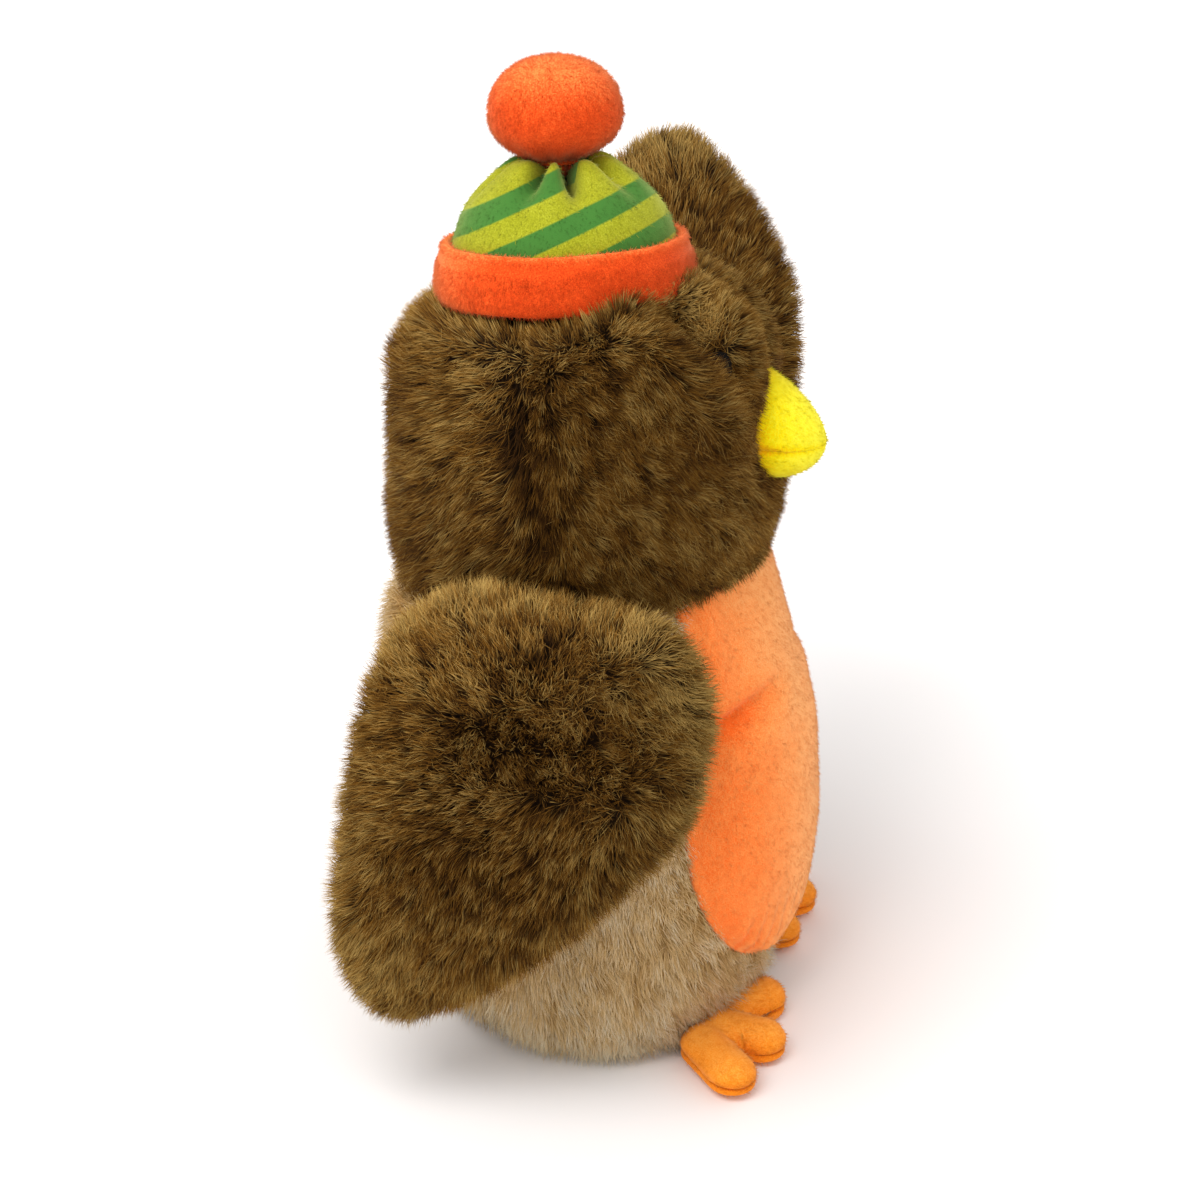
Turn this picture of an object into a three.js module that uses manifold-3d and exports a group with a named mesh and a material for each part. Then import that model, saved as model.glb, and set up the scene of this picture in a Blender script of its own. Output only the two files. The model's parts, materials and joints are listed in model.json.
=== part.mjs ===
// Plush robin dog toy: a stuffed bird in a bobble hat.
// Millimetres, +Z up. The bird faces -Y, its left side is +X, and the origin is the middle of
// the flat base it sits on. Every soft piece is a closed swelling form, and the covers are shells
// of those forms with a wad of filling inside.
import * as THREE from "three";
import { mergeVertices } from "three/addons/utils/BufferGeometryUtils.js";
import Module from "manifold-3d";

const wasm = await Module();
wasm.setup();
const { Manifold, Mesh } = wasm;

// Gaps
const SEAM_GAP = 0.3; // between pieces sewn edge to edge, and between a wad and its cover
const NECK_GAP = 0.6; // between head and body, so the head can turn
const FAR = 600; // side of the boxes that cut a form in two

// Fabric: the wall of a cover is its backing with the dense part of its pile
const FUR_WALL = 8;
const WING_WALL = 5;
const PLUSH_WALL = 2.6;
const BASE_WALL = 5;

// Body: an egg that is blunt below and tapers to the neck
const BODY_HALF_WIDTH = 80;
const BODY_HALF_DEPTH = 81;
const BODY_WIDEST = 88; // height of its widest level
const BODY_DROP = 92; // the swell would end this far below that level, but the base cuts it
const BODY_RISE = 160; // and this far above it, but the neck cuts it
const BODY_ROUND_BELOW = 4.2;
const BODY_ROUND_ABOVE = 2.2;
const BODY_LEAN = 0.05; // the back moves this much per mm of height
const BODY_TUCK = 0.2; // share by which the front is drawn in towards the base
const BASE_INSET = 1; // the base panel's edge lies this far inside the body's

// Neck seam
const NECK_HEIGHT = 178;
const NECK_SHIFT = -1; // behind the base's middle
const NECK_TILT = THREE.MathUtils.degToRad(7); // the front of the seam is higher

// Breast panel, as seen from the front
const BREAST_HALF_WIDTH = 61;
const BREAST_TOP_HALF_WIDTH = 49;
const BREAST_TIP = 26; // height of its lowest point
const BREAST_WIDEST = 98;

// Head, in a frame that stands on the neck seam
const HEAD_HALF_WIDTH = 68;
const HEAD_HALF_DEPTH = 69;
const HEAD_WIDEST = 42;
const HEAD_RISE = 64;
const HEAD_DROP = 72;
const HEAD_ROUND = 4.2;
const HEAD_SQUARE = 2.2;
const HEAD_LEAN = -0.05; // its top stands this much forward per mm of height
const SIDE_SEAM = 4; // the seam between face and back lies this far behind the head's middle

// Eyes and beak
const EYE_RADIUS = 8;
const EYE_THICK = 4;
const EYE_SPREAD = 30; // from the middle of the face
const EYE_HEIGHT = 81;
const EYE_SINK = 4; // the thread that joins the eyes draws them into the face by this much
const EYE_BOWL = 17; // radius of the hollow that this leaves round an eye
const BEAK_HALF_WIDTH = 23;
const BEAK_HALF_HEIGHT = 20;
const BEAK_LENGTH = 30; // from its root inside the face
const BEAK_ROOT = 58; // the root is this far in front of the head's middle
const BEAK_HEIGHT = 49;
const BEAK_DROOP = 0.3;
const BEAK_SEAM = 40; // height of the seam between its panels
const BEAK_ROUND = 1.8;

// Hat, in a frame that sits on the head
const HAT_HEIGHT = 98.5;
const HAT_SHIFT = 0.8;
const HAT_TILT = THREE.MathUtils.degToRad(3.6);
const HAT_ROLL = THREE.MathUtils.degToRad(5); // it sits tipped to the left
const CUFF_RADIUS = 46.5;
const CUFF_WALL = 5.4;
const CUFF_HEIGHT = 21;
const CUFF_TAPER = 3; // the top of the cuff is this much narrower
const CROWN_START = 2;
const CROWN_HEIGHT = 47;
const CROWN_ROUND = 2.3;
const GATHER_DEPTH = 6; // of the dimple that the pompom sits in
const GATHER_RADIUS = 13;
const GATHER_FOLDS = 10;
const GATHER_FOLD_DEPTH = 1.2;

// Pompom, on a tied neck
const POMPOM_RADIUS = 23;
const POMPOM_RISE = 19;
const POMPOM_DROP = 15.5;
const POMPOM_STAND = 19; // its middle above the gather
const POMPOM_NECK = 5;
const POMPOM_NECK_BORE = 2.4;
const POMPOM_NECK_PLAY = 0.5; // between the neck and the hole in the crown
const TIE_THREAD = 0.9;

// Wings: flat pillows that hang from a hinge seam on the shoulder
const WING_ROOT_HALF = 36;
const WING_FRONT = 58; // how far the wing reaches in front of the hinge's middle
const WING_BACK = 55;
const WING_LENGTH = 150;
const WING_TIP_SHIFT = 18.5; // the tip points back by this much
const WING_OUT_THICK = 14; // of its outer side, from the seam round its edge
const WING_IN_THICK = 8;
const WING_ROUND = 3.2;
const WING_NOSE = 10; // from the hinge to the root's edge
const WING_RISE = 2; // of the hinge above the neck seam
const WING_HINGE_TILT = THREE.MathUtils.degToRad(11.5);
const WING_STEP = THREE.MathUtils.degToRad(0.2); // in the search for how the hanging wing lies
const LEFT_RAISE = THREE.MathUtils.degToRad(131);
const LEFT_WING_SHIFT = -1; // how much further back the left wing is sewn on

// Feet: three stuffed toes on an instep
const FOOT_SPREAD = 46; // from the toy's middle to the root of a foot
const FOOT_FORWARD = 40;
const FOOT_TURN = THREE.MathUtils.degToRad(8);
const FOOT_LIFT = THREE.MathUtils.degToRad(12);
const FOOT_HEIGHT = 14;
const FOOT_SEAM = 6; // height of the seam between upper and sole
const FOOT_FLAT = 0.6; // the sole is cut flat by this much
const TOE_SPREAD = THREE.MathUtils.degToRad(40);
const TOE_REACH = 43;
const TOE_HALF_WIDTH = 12;
const TOE_HALF_LENGTH = 20;
const INSTEP_HALF_WIDTH = 19;
const INSTEP_HALF_LENGTH = 16;

// Squeaker: a bellows between a base cup and a cap, with a reed whistle
const SQUEAKER_FLOOR = 72; // height of its base
const SQUEAKER_RADIUS = 20;
const SQUEAKER_PLEATS = 3;
const PLEAT_DEPTH = 5;
const PLEAT_HEIGHT = 6.6;
const BELLOWS_WALL = 1.2;
const SQUEAKER_PLATE = 3;
const WHISTLE_RADIUS = 4;
const WHISTLE_BORE = 2.4;
const WHISTLE_LENGTH = 14;
const REED_WIDTH = 3;
const REED_THICK = 0.5;

// How finely the forms are faceted
const SIDES = 24;
const LEVELS = 6;
const CROWN_SIDES = 30;
const CROWN_LEVELS = 7;
const SMALL_SIDES = 12;
const SMALL_LEVELS = 4;

// A closed body from rings of points, each counter-clockwise seen from above, from bottom to top.
// A looped stack joins its last ring to its first; another stack is closed by a point at each end.
function ringStack(rings, looped = false) {
  const count = rings[0].length;
  const points = rings.flat();
  const faces = [];
  const last = looped ? rings.length : rings.length - 1;
  for (let k = 0; k < last; k++) {
    const low = k * count;
    const high = ((k + 1) % rings.length) * count;
    for (let j = 0; j < count; j++) {
      const next = (j + 1) % count;
      faces.push(low + j, low + next, high + next);
      faces.push(low + j, high + next, high + j);
    }
  }
  if (!looped) {
    const middleOf = (ring) => ring.reduce((sum, p) => sum.add(p), new THREE.Vector3()).divideScalar(count);
    const bottom = points.push(middleOf(rings[0])) - 1;
    const top = points.push(middleOf(rings.at(-1))) - 1;
    const start = (rings.length - 1) * count;
    for (let j = 0; j < count; j++) {
      const next = (j + 1) % count;
      faces.push(bottom, next, j);
      faces.push(top, start + j, start + next);
    }
  }
  return new THREE.BufferGeometry().setFromPoints(points).setIndex(faces);
}

// A superellipse outline, as points around the origin.
function roundOutline(halfWidth, halfDepth, square = 2, sides = SIDES) {
  const power = (value) => Math.sign(value) * Math.abs(value) ** (2 / square);
  return Array.from({ length: sides }, (_, j) => {
    const angle = (2 * Math.PI * j) / sides;
    return new THREE.Vector2(halfWidth * power(Math.cos(angle)), halfDepth * power(Math.sin(angle)));
  });
}

// The same outline moved outward from the origin.
const grown = (outline, grow) => outline.map((p) => p.clone().setLength(p.length() + grow));

// A depth in front of the middle, drawn in by a share that grows with the square of the way down.
const drawnIn = (y, tuck, down) => (y < 0 ? y * (1 - tuck * down ** 2) : y);

// A swelling form: an outline at its widest level that shrinks to a point above and below.
function swell(form, grow = 0) {
  const { outline, rise, drop, roundAbove, roundBelow = roundAbove, lean = 0, tuck = 0, levels = LEVELS } = form;
  const section = grown(outline, grow);
  const rings = [];
  for (let k = 1; k < 2 * levels; k++) {
    const angle = (Math.PI * (k / levels - 1)) / 2;
    const power = 2 / (angle < 0 ? roundBelow : roundAbove);
    const shrink = Math.cos(angle) ** power;
    const reach = (angle < 0 ? drop : rise) + grow;
    const height = Math.sign(angle) * Math.abs(Math.sin(angle)) ** power * reach;
    const down = Math.max(-height / reach, 0);
    const depth = (y) => drawnIn(y, tuck, down) * shrink + lean * height;
    rings.push(section.map((p) => new THREE.Vector3(p.x * shrink, depth(p.y), height)));
  }
  return ringStack(rings);
}

// The share of its widest section that such a form has at a height above its widest level.
function shareAt({ rise, drop, roundAbove, roundBelow = roundAbove }, height) {
  const round = height < 0 ? roundBelow : roundAbove;
  return (1 - Math.abs(height / (height < 0 ? drop : rise)) ** round) ** (1 / round);
}

// A turned body: circles of the given radii and heights, stacked in order.
function turned(profile, { looped = false, sides = SIDES } = {}) {
  const rings = profile.map(([radius, height]) =>
    roundOutline(radius, radius, 2, sides).map((p) => new THREE.Vector3(p.x, p.y, height)),
  );
  return ringStack(rings, looped);
}

const cylinder = (radius, low, high, sides = SIDES) => turned([[radius, low], [radius, high]], { sides });

function box(minX, minY, minZ, maxX, maxY, maxZ) {
  const geometry = new THREE.BoxGeometry(maxX - minX, maxY - minY, maxZ - minZ);
  return geometry.translate((minX + maxX) / 2, (minY + maxY) / 2, (minZ + maxZ) / 2);
}

// Half of space beyond a level on one axis, as a large box.
const above = (axis, level) => {
  const low = [-FAR, -FAR, -FAR];
  low["xyz".indexOf(axis)] = level;
  return solidOf(box(...low, FAR, FAR, FAR));
};
const below = (axis, level) => {
  const high = [FAR, FAR, FAR];
  high["xyz".indexOf(axis)] = level;
  return solidOf(box(-FAR, -FAR, -FAR, ...high));
};

function solidOf(geometry) {
  const plain = new THREE.BufferGeometry();
  plain.setAttribute("position", geometry.getAttribute("position"));
  plain.setIndex(geometry.getIndex());
  const merged = mergeVertices(plain, 1e-4);
  const index = merged.getIndex().array;
  const faces = [];
  for (let i = 0; i < index.length; i += 3) {
    const [a, b, c] = index.slice(i, i + 3);
    if (a !== b && b !== c && c !== a) faces.push(a, b, c);
  }
  return new Manifold(
    new Mesh({
      numProp: 3,
      vertProperties: new Float32Array(merged.getAttribute("position").array),
      triVerts: new Uint32Array(faces),
    }),
  );
}

function geometryOf(solid) {
  const { vertProperties, triVerts } = solid.getMesh();
  const geometry = new THREE.BufferGeometry();
  geometry.setAttribute("position", new THREE.BufferAttribute(new Float32Array(vertProperties), 3));
  geometry.setIndex(new THREE.BufferAttribute(new Uint32Array(triVerts), 1));
  geometry.computeVertexNormals();
  return geometry;
}

const cut = (solid, ...tools) => tools.reduce((rest, tool) => rest.subtract(tool), solid);
const joined = (...solids) => solids.reduce((whole, next) => whole.add(next));

const cloth = (color, roughness) => new THREE.MeshStandardMaterial({ color, roughness, metalness: 0 });
const BROWN_FUR = cloth(0x7a5f38, 0.95);
const BEIGE_FUR = cloth(0xc2a67c, 0.95);
const ORANGE_PLUSH = cloth(0xf47a2c, 0.9);
const RED_ORANGE_PLUSH = cloth(0xf0581f, 0.9);
const LIME_PLUSH = cloth(0xc4d42c, 0.9);
const YELLOW_PLUSH = cloth(0xf6e010, 0.9);
const AMBER_PLUSH = cloth(0xf48a1c, 0.9);
const BLACK_THREAD = cloth(0x141210, 0.6);
const FIBRE_FILL = cloth(0xf4f2ec, 0.95);
const WHITE_PLASTIC = cloth(0xe8e8e4, 0.4);

function piece(name, solid, material) {
  const mesh = new THREE.Mesh(geometryOf(solid), material);
  mesh.name = name;
  return mesh;
}

function frame(name, position, rotation) {
  const group = new THREE.Group();
  group.name = name;
  group.position.set(...position);
  group.rotation.set(...rotation);
  group.updateMatrix();
  return group;
}

const toy = new THREE.Group();
toy.name = "plush_robin";
const head = frame("head", [0, NECK_SHIFT, NECK_HEIGHT], [-NECK_TILT, 0, 0]);
toy.add(head);

// Body
const bodyForm = {
  outline: roundOutline(BODY_HALF_WIDTH, BODY_HALF_DEPTH),
  rise: BODY_RISE,
  drop: BODY_DROP,
  roundAbove: BODY_ROUND_ABOVE,
  roundBelow: BODY_ROUND_BELOW,
  lean: BODY_LEAN,
  tuck: BODY_TUCK,
};
const bodyAt = (grow) => solidOf(swell(bodyForm, grow).translate(0, 0, BODY_WIDEST));
const neckBox = box(-FAR, -FAR, -NECK_GAP / 2, FAR, FAR, FAR).applyMatrix4(head.matrix);
const aboveNeck = solidOf(neckBox);
const floorBox = below("z", 0);
const bodyHollow = cut(bodyAt(-FUR_WALL), below("z", BASE_WALL));

// The breast panel's outline from the front, carried through the front half of the body.
function breastTool(inset) {
  const half = BREAST_HALF_WIDTH - inset;
  const tip = BREAST_TIP + inset;
  const top = NECK_HEIGHT + BODY_HALF_DEPTH;
  const shape = new THREE.Shape();
  shape.moveTo(0, tip);
  shape.bezierCurveTo(half * 0.85, tip, half, (tip + BREAST_WIDEST) / 2, half, BREAST_WIDEST);
  shape.lineTo(BREAST_TOP_HALF_WIDTH - inset, NECK_HEIGHT);
  shape.lineTo(BREAST_TOP_HALF_WIDTH - inset, top);
  shape.lineTo(-BREAST_TOP_HALF_WIDTH + inset, top);
  shape.lineTo(-BREAST_TOP_HALF_WIDTH + inset, NECK_HEIGHT);
  shape.lineTo(-half, BREAST_WIDEST);
  shape.bezierCurveTo(-half, (tip + BREAST_WIDEST) / 2, -half * 0.85, tip, 0, tip);
  const bar = new THREE.ExtrudeGeometry(shape, { depth: FAR, bevelEnabled: false, curveSegments: 9 });
  return solidOf(bar.rotateX(Math.PI / 2));
}
const baseShare = shareAt(bodyForm, -BODY_WIDEST);
const baseOutline = roundOutline(BODY_HALF_WIDTH * baseShare - BASE_INSET, BODY_HALF_DEPTH * baseShare - BASE_INSET);
const basePlate = (grow, high) => {
  const depth = (y) => drawnIn(y, BODY_TUCK, BODY_WIDEST / BODY_DROP) - BODY_LEAN * BODY_WIDEST;
  const ring = (z) => grown(baseOutline, grow).map((p) => new THREE.Vector3(p.x, depth(p.y), z));
  return solidOf(ringStack([ring(-grow), ring(high + grow)]));
};
const bodyCover = cut(bodyAt(0), bodyHollow, breastTool(0), basePlate(SEAM_GAP, BASE_WALL), aboveNeck, floorBox);
const breastPanel = cut(bodyAt(0), bodyAt(-PLUSH_WALL), aboveNeck).intersect(breastTool(SEAM_GAP));
toy.add(piece("body_cover", bodyCover, BEIGE_FUR));
toy.add(piece("breast_panel", breastPanel, ORANGE_PLUSH));
toy.add(piece("base_panel", basePlate(0, BASE_WALL), BEIGE_FUR));

// Squeaker, upright in the middle of the body's filling
const bellowsLow = SQUEAKER_FLOOR + SQUEAKER_PLATE + SEAM_GAP;
const bellowsHigh = bellowsLow + SQUEAKER_PLEATS * PLEAT_HEIGHT;
const capLow = bellowsHigh + SEAM_GAP;
const whistleLow = SQUEAKER_FLOOR - WHISTLE_LENGTH / 2;
const bellowsWall = (inset) =>
  Array.from({ length: 2 * SQUEAKER_PLEATS + 1 }, (_, k) => [
    SQUEAKER_RADIUS - inset - (k % 2 ? 0 : PLEAT_DEPTH),
    bellowsLow + (k * PLEAT_HEIGHT) / 2,
  ]);
const bellows = turned([...bellowsWall(0), ...bellowsWall(BELLOWS_WALL).reverse()], { looped: true, sides: 18 });
const whistleBore = solidOf(cylinder(WHISTLE_RADIUS + SEAM_GAP, 0, SQUEAKER_FLOOR + FAR, SMALL_SIDES));
const whistle = cut(
  solidOf(cylinder(WHISTLE_RADIUS, whistleLow, whistleLow + WHISTLE_LENGTH, SMALL_SIDES)),
  solidOf(cylinder(WHISTLE_BORE, 0, FAR, SMALL_SIDES)),
);
const cup = solidOf(cylinder(SQUEAKER_RADIUS, SQUEAKER_FLOOR, SQUEAKER_FLOOR + SQUEAKER_PLATE));
const cap = solidOf(cylinder(SQUEAKER_RADIUS, capLow, capLow + SQUEAKER_PLATE));
const reed = solidOf(
  box(-REED_WIDTH / 2, -REED_THICK / 2, whistleLow + 1, REED_WIDTH / 2, REED_THICK / 2, whistleLow + WHISTLE_LENGTH - 1),
);
toy.add(piece("squeaker_base", cut(cup, whistleBore), WHITE_PLASTIC));
toy.add(piece("squeaker_bellows", solidOf(bellows), WHITE_PLASTIC));
toy.add(piece("squeaker_cap", cap, WHITE_PLASTIC));
toy.add(piece("squeaker_whistle", whistle, WHITE_PLASTIC));
toy.add(piece("squeaker_reed", reed, WHITE_PLASTIC));

// Body filling, in a front and a back wad around the squeaker
const wadGap = FUR_WALL + SEAM_GAP;
const behindBreast = bodyAt(-PLUSH_WALL - SEAM_GAP).intersect(breastTool(2 * SEAM_GAP));
const wad = cut(
  joined(bodyAt(-wadGap), behindBreast),
  below("z", BASE_WALL + SEAM_GAP),
  aboveNeck,
  solidOf(cylinder(SQUEAKER_RADIUS + SEAM_GAP, SQUEAKER_FLOOR - SEAM_GAP, capLow + SQUEAKER_PLATE + SEAM_GAP)),
  solidOf(cylinder(WHISTLE_RADIUS + SEAM_GAP, whistleLow - SEAM_GAP, SQUEAKER_FLOOR, SMALL_SIDES)),
);
toy.add(piece("body_stuffing_front", wad.intersect(below("y", -SEAM_GAP / 2)), FIBRE_FILL));
toy.add(piece("body_stuffing_back", wad.intersect(above("y", SEAM_GAP / 2)), FIBRE_FILL));

// Head
const headForm = {
  outline: roundOutline(HEAD_HALF_WIDTH, HEAD_HALF_DEPTH, HEAD_SQUARE),
  rise: HEAD_RISE,
  drop: HEAD_DROP,
  roundAbove: HEAD_ROUND,
  lean: HEAD_LEAN,
};
const belowNeck = below("z", NECK_GAP / 2);
const headAt = (grow) => solidOf(swell(headForm, grow).translate(0, 0, HEAD_WIDEST));
const headClear = headAt(SEAM_GAP);
const headShell = cut(headAt(0), headAt(-FUR_WALL), belowNeck);
const facePanel = headShell.intersect(below("y", SIDE_SEAM - SEAM_GAP / 2));

// Depth of the face in front of the head's middle, at a place beside and above it.
function faceDepth(x, z) {
  const share = shareAt(headForm, z - HEAD_WIDEST);
  const across = Math.abs(x) / (HEAD_HALF_WIDTH * share);
  const lean = HEAD_LEAN * (z - HEAD_WIDEST);
  return HEAD_HALF_DEPTH * share * (1 - across ** HEAD_SQUARE) ** (1 / HEAD_SQUARE) - lean;
}

// A lens on the face beside the beak, square to the face and sunk in it.
function faceLens(side, halfWidth, halfThick, sink, grow) {
  const x = side * EYE_SPREAD;
  const slopeX = faceDepth(x + 1, EYE_HEIGHT) - faceDepth(x - 1, EYE_HEIGHT);
  const slopeZ = faceDepth(x, EYE_HEIGHT + 1) - faceDepth(x, EYE_HEIGHT - 1);
  const out = new THREE.Vector3(-slopeX / 2, -1, -slopeZ / 2).normalize();
  const lens = swell(
    {
      outline: roundOutline(halfWidth, halfWidth, 2, SMALL_SIDES),
      rise: halfThick,
      drop: halfThick,
      roundAbove: 2.2,
      levels: 3,
    },
    grow,
  );
  lens.translate(0, 0, -sink);
  lens.applyQuaternion(new THREE.Quaternion().setFromUnitVectors(new THREE.Vector3(0, 0, 1), out));
  return solidOf(lens.translate(x, -faceDepth(x, EYE_HEIGHT), EYE_HEIGHT));
}
const eye = (side, grow) => faceLens(side, EYE_RADIUS, EYE_THICK / 2, EYE_SINK, grow);
const eyeBowl = (side) => faceLens(side, EYE_BOWL, EYE_SINK, 0, 0);
const eyeRoom = [1, -1].flatMap((side) => [eyeBowl(side), eye(side, SEAM_GAP)]);
head.add(piece("head_face_panel", cut(facePanel, ...eyeRoom), BROWN_FUR));
head.add(piece("head_back_panel", headShell.intersect(above("y", SIDE_SEAM + SEAM_GAP / 2)), BROWN_FUR));
head.add(piece("head_stuffing", cut(headAt(-wadGap), belowNeck), FIBRE_FILL));
head.add(piece("left_eye", eye(1, 0), BLACK_THREAD));
head.add(piece("right_eye", eye(-1, 0), BLACK_THREAD));

// Beak: a nose cone that points forward, with its seam below the middle
const beakForm = {
  outline: roundOutline(BEAK_HALF_WIDTH, BEAK_HALF_HEIGHT, 2, SMALL_SIDES + 4),
  rise: BEAK_LENGTH,
  drop: BEAK_LENGTH / 3,
  roundAbove: BEAK_ROUND,
  lean: -BEAK_DROOP,
  levels: SMALL_LEVELS,
};
const beakAt = (grow) => {
  const cone = swell(beakForm, grow).rotateX(Math.PI / 2);
  return solidOf(cone.translate(0, -BEAK_ROOT, BEAK_HEIGHT));
};
const beakShell = cut(beakAt(0), beakAt(-PLUSH_WALL), headClear);
head.add(piece("beak_upper", beakShell.intersect(above("z", BEAK_SEAM + SEAM_GAP / 2)), YELLOW_PLUSH));
head.add(piece("beak_lower", beakShell.intersect(below("z", BEAK_SEAM - SEAM_GAP / 2)), YELLOW_PLUSH));
head.add(piece("beak_stuffing", cut(beakAt(-PLUSH_WALL - SEAM_GAP), headClear), FIBRE_FILL));

// Hat: the crown is a dome with a gathered dimple, and the cuff is a roll around its foot
const hat = frame("hat", [0, HAT_SHIFT, HAT_HEIGHT], [HAT_TILT, HAT_ROLL, 0]);
head.add(hat);
const intoHat = hat.matrix.clone().invert();
const headInHat = solidOf(swell(headForm, SEAM_GAP).translate(0, 0, HEAD_WIDEST).applyMatrix4(intoHat));
const crownRadius = CUFF_RADIUS - CUFF_WALL - SEAM_GAP;

// Rings of the dome from its foot to the hole in the gather, all moved inward by an inset.
function crownRings(inset) {
  const hole = POMPOM_NECK + POMPOM_NECK_PLAY;
  const radius = crownRadius - inset;
  const height = CROWN_HEIGHT - CROWN_START - inset;
  const lastAngle = Math.acos((hole / radius) ** (CROWN_ROUND / 2));
  return Array.from({ length: CROWN_LEVELS }, (_, k) => {
    const angle = (lastAngle * k) / (CROWN_LEVELS - 1);
    const ringRadius = radius * Math.cos(angle) ** (2 / CROWN_ROUND);
    const dimple = GATHER_DEPTH * Math.exp(-((ringRadius / GATHER_RADIUS) ** 2));
    const fold = GATHER_FOLD_DEPTH * Math.exp(-(((ringRadius - GATHER_RADIUS) / GATHER_RADIUS) ** 2) * 3);
    const ringHeight = CROWN_START + height * Math.sin(angle) ** (2 / CROWN_ROUND) - dimple;
    return roundOutline(ringRadius, ringRadius, 2, CROWN_SIDES).map((p, j) => {
      const wave = Math.cos((2 * Math.PI * GATHER_FOLDS * j) / CROWN_SIDES);
      return new THREE.Vector3(p.x, p.y, ringHeight + fold * wave);
    });
  });
}
const gatherHeight = crownRings(0).at(-1)[0].z;
const crown = solidOf(ringStack([...crownRings(0), ...crownRings(PLUSH_WALL).reverse()], true));
const hatWad = solidOf(ringStack(crownRings(PLUSH_WALL + 3 * SEAM_GAP)));
const rollTop = CUFF_HEIGHT - CUFF_WALL / 2;
const rollProfile = [
  [CUFF_RADIUS - CUFF_WALL, 0],
  [CUFF_RADIUS, 0],
  [CUFF_RADIUS, CUFF_HEIGHT * 0.4],
  [CUFF_RADIUS - CUFF_TAPER / 2, rollTop],
  [CUFF_RADIUS - CUFF_TAPER, CUFF_HEIGHT - 0.6],
  [CUFF_RADIUS - CUFF_WALL / 2, CUFF_HEIGHT],
  [CUFF_RADIUS - CUFF_WALL, rollTop],
];
hat.add(piece("hat_cuff", cut(solidOf(turned(rollProfile, { looped: true, sides: CROWN_SIDES })), headInHat), RED_ORANGE_PLUSH));
hat.add(piece("hat_crown", cut(crown, headInHat), LIME_PLUSH));
hat.add(piece("hat_stuffing", cut(hatWad, headInHat), FIBRE_FILL));

// Pompom: a ball with a tied neck that goes down into the gather
const pompom = frame("pompom", [0, 0, gatherHeight - PLUSH_WALL / 2], [0, 0, 0]);
hat.add(pompom);
const pompomForm = {
  outline: roundOutline(POMPOM_RADIUS, POMPOM_RADIUS, 2, SMALL_SIDES + 6),
  rise: POMPOM_RISE,
  drop: POMPOM_DROP,
  roundAbove: 2.2,
  levels: SMALL_LEVELS,
};
const ballAt = (grow) => solidOf(swell(pompomForm, grow).translate(0, 0, POMPOM_STAND));
const neckLow = -PLUSH_WALL / 2;
const neckHigh = POMPOM_STAND - POMPOM_DROP + PLUSH_WALL * 0.8;
const neck = solidOf(cylinder(POMPOM_NECK, neckLow, neckHigh, SMALL_SIDES));
const neckBore = solidOf(cylinder(POMPOM_NECK_BORE, neckLow - 1, POMPOM_STAND, SMALL_SIDES));
const tieRing = Array.from({ length: 8 }, (_, k) => {
  const angle = (2 * Math.PI * k) / 8;
  return [
    POMPOM_NECK + SEAM_GAP + TIE_THREAD * (1 + Math.cos(angle)),
    PLUSH_WALL / 2 + TIE_THREAD * (2.2 + Math.sin(angle)),
  ];
});
const tie = solidOf(turned(tieRing, { looped: true, sides: SMALL_SIDES + 4 }));
const tieClear = solidOf(
  cylinder(POMPOM_NECK + 2 * TIE_THREAD + 2 * SEAM_GAP, neckLow, PLUSH_WALL / 2 + 3.2 * TIE_THREAD + SEAM_GAP, SMALL_SIDES),
);
const pompomCover = cut(joined(cut(ballAt(0), ballAt(-PLUSH_WALL), tieClear), neck), neckBore);
pompom.add(piece("pompom_cover", pompomCover, RED_ORANGE_PLUSH));
pompom.add(piece("pompom_stuffing", cut(ballAt(-PLUSH_WALL - SEAM_GAP), cut(neck, neckBore)), FIBRE_FILL));
pompom.add(piece("pompom_tie", tie, RED_ORANGE_PLUSH));

// Wings: the outline is drawn around the wing's middle, with the hinge along its upper edge
const wingMiddle = WING_LENGTH * 0.43;
function wingOutline() {
  const reach = (share) => wingMiddle - share * WING_LENGTH;
  const top = wingMiddle + WING_NOSE;
  const curve = new THREE.SplineCurve([
    new THREE.Vector2(-WING_FRONT * 0.94, reach(0.07)),
    new THREE.Vector2(-WING_FRONT, reach(0.34)),
    new THREE.Vector2(-WING_FRONT * 0.46, reach(0.68)),
    new THREE.Vector2(WING_TIP_SHIFT, reach(1)),
    new THREE.Vector2(WING_BACK * 0.82, reach(0.88)),
    new THREE.Vector2(WING_BACK * 0.97, reach(0.52)),
    new THREE.Vector2(WING_BACK, reach(0.13)),
  ]);
  const rim = curve.getSpacedPoints(SIDES - 6);
  const topEdge = Array.from({ length: 5 }, (_, k) => new THREE.Vector2(WING_ROOT_HALF * (1 - k / 2), top));
  return [...rim, ...topEdge];
}
const wingForm = {
  outline: wingOutline(),
  rise: WING_IN_THICK,
  drop: WING_OUT_THICK,
  roundAbove: WING_ROUND,
  levels: SMALL_LEVELS,
};
// The drawn outline lies across the hinge in X and along the wing in Y; it is stood up beside the body.
const standUp = new THREE.Matrix4().makeBasis(
  new THREE.Vector3(0, 1, 0),
  new THREE.Vector3(0, 0, 1),
  new THREE.Vector3(1, 0, 0),
);
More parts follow.
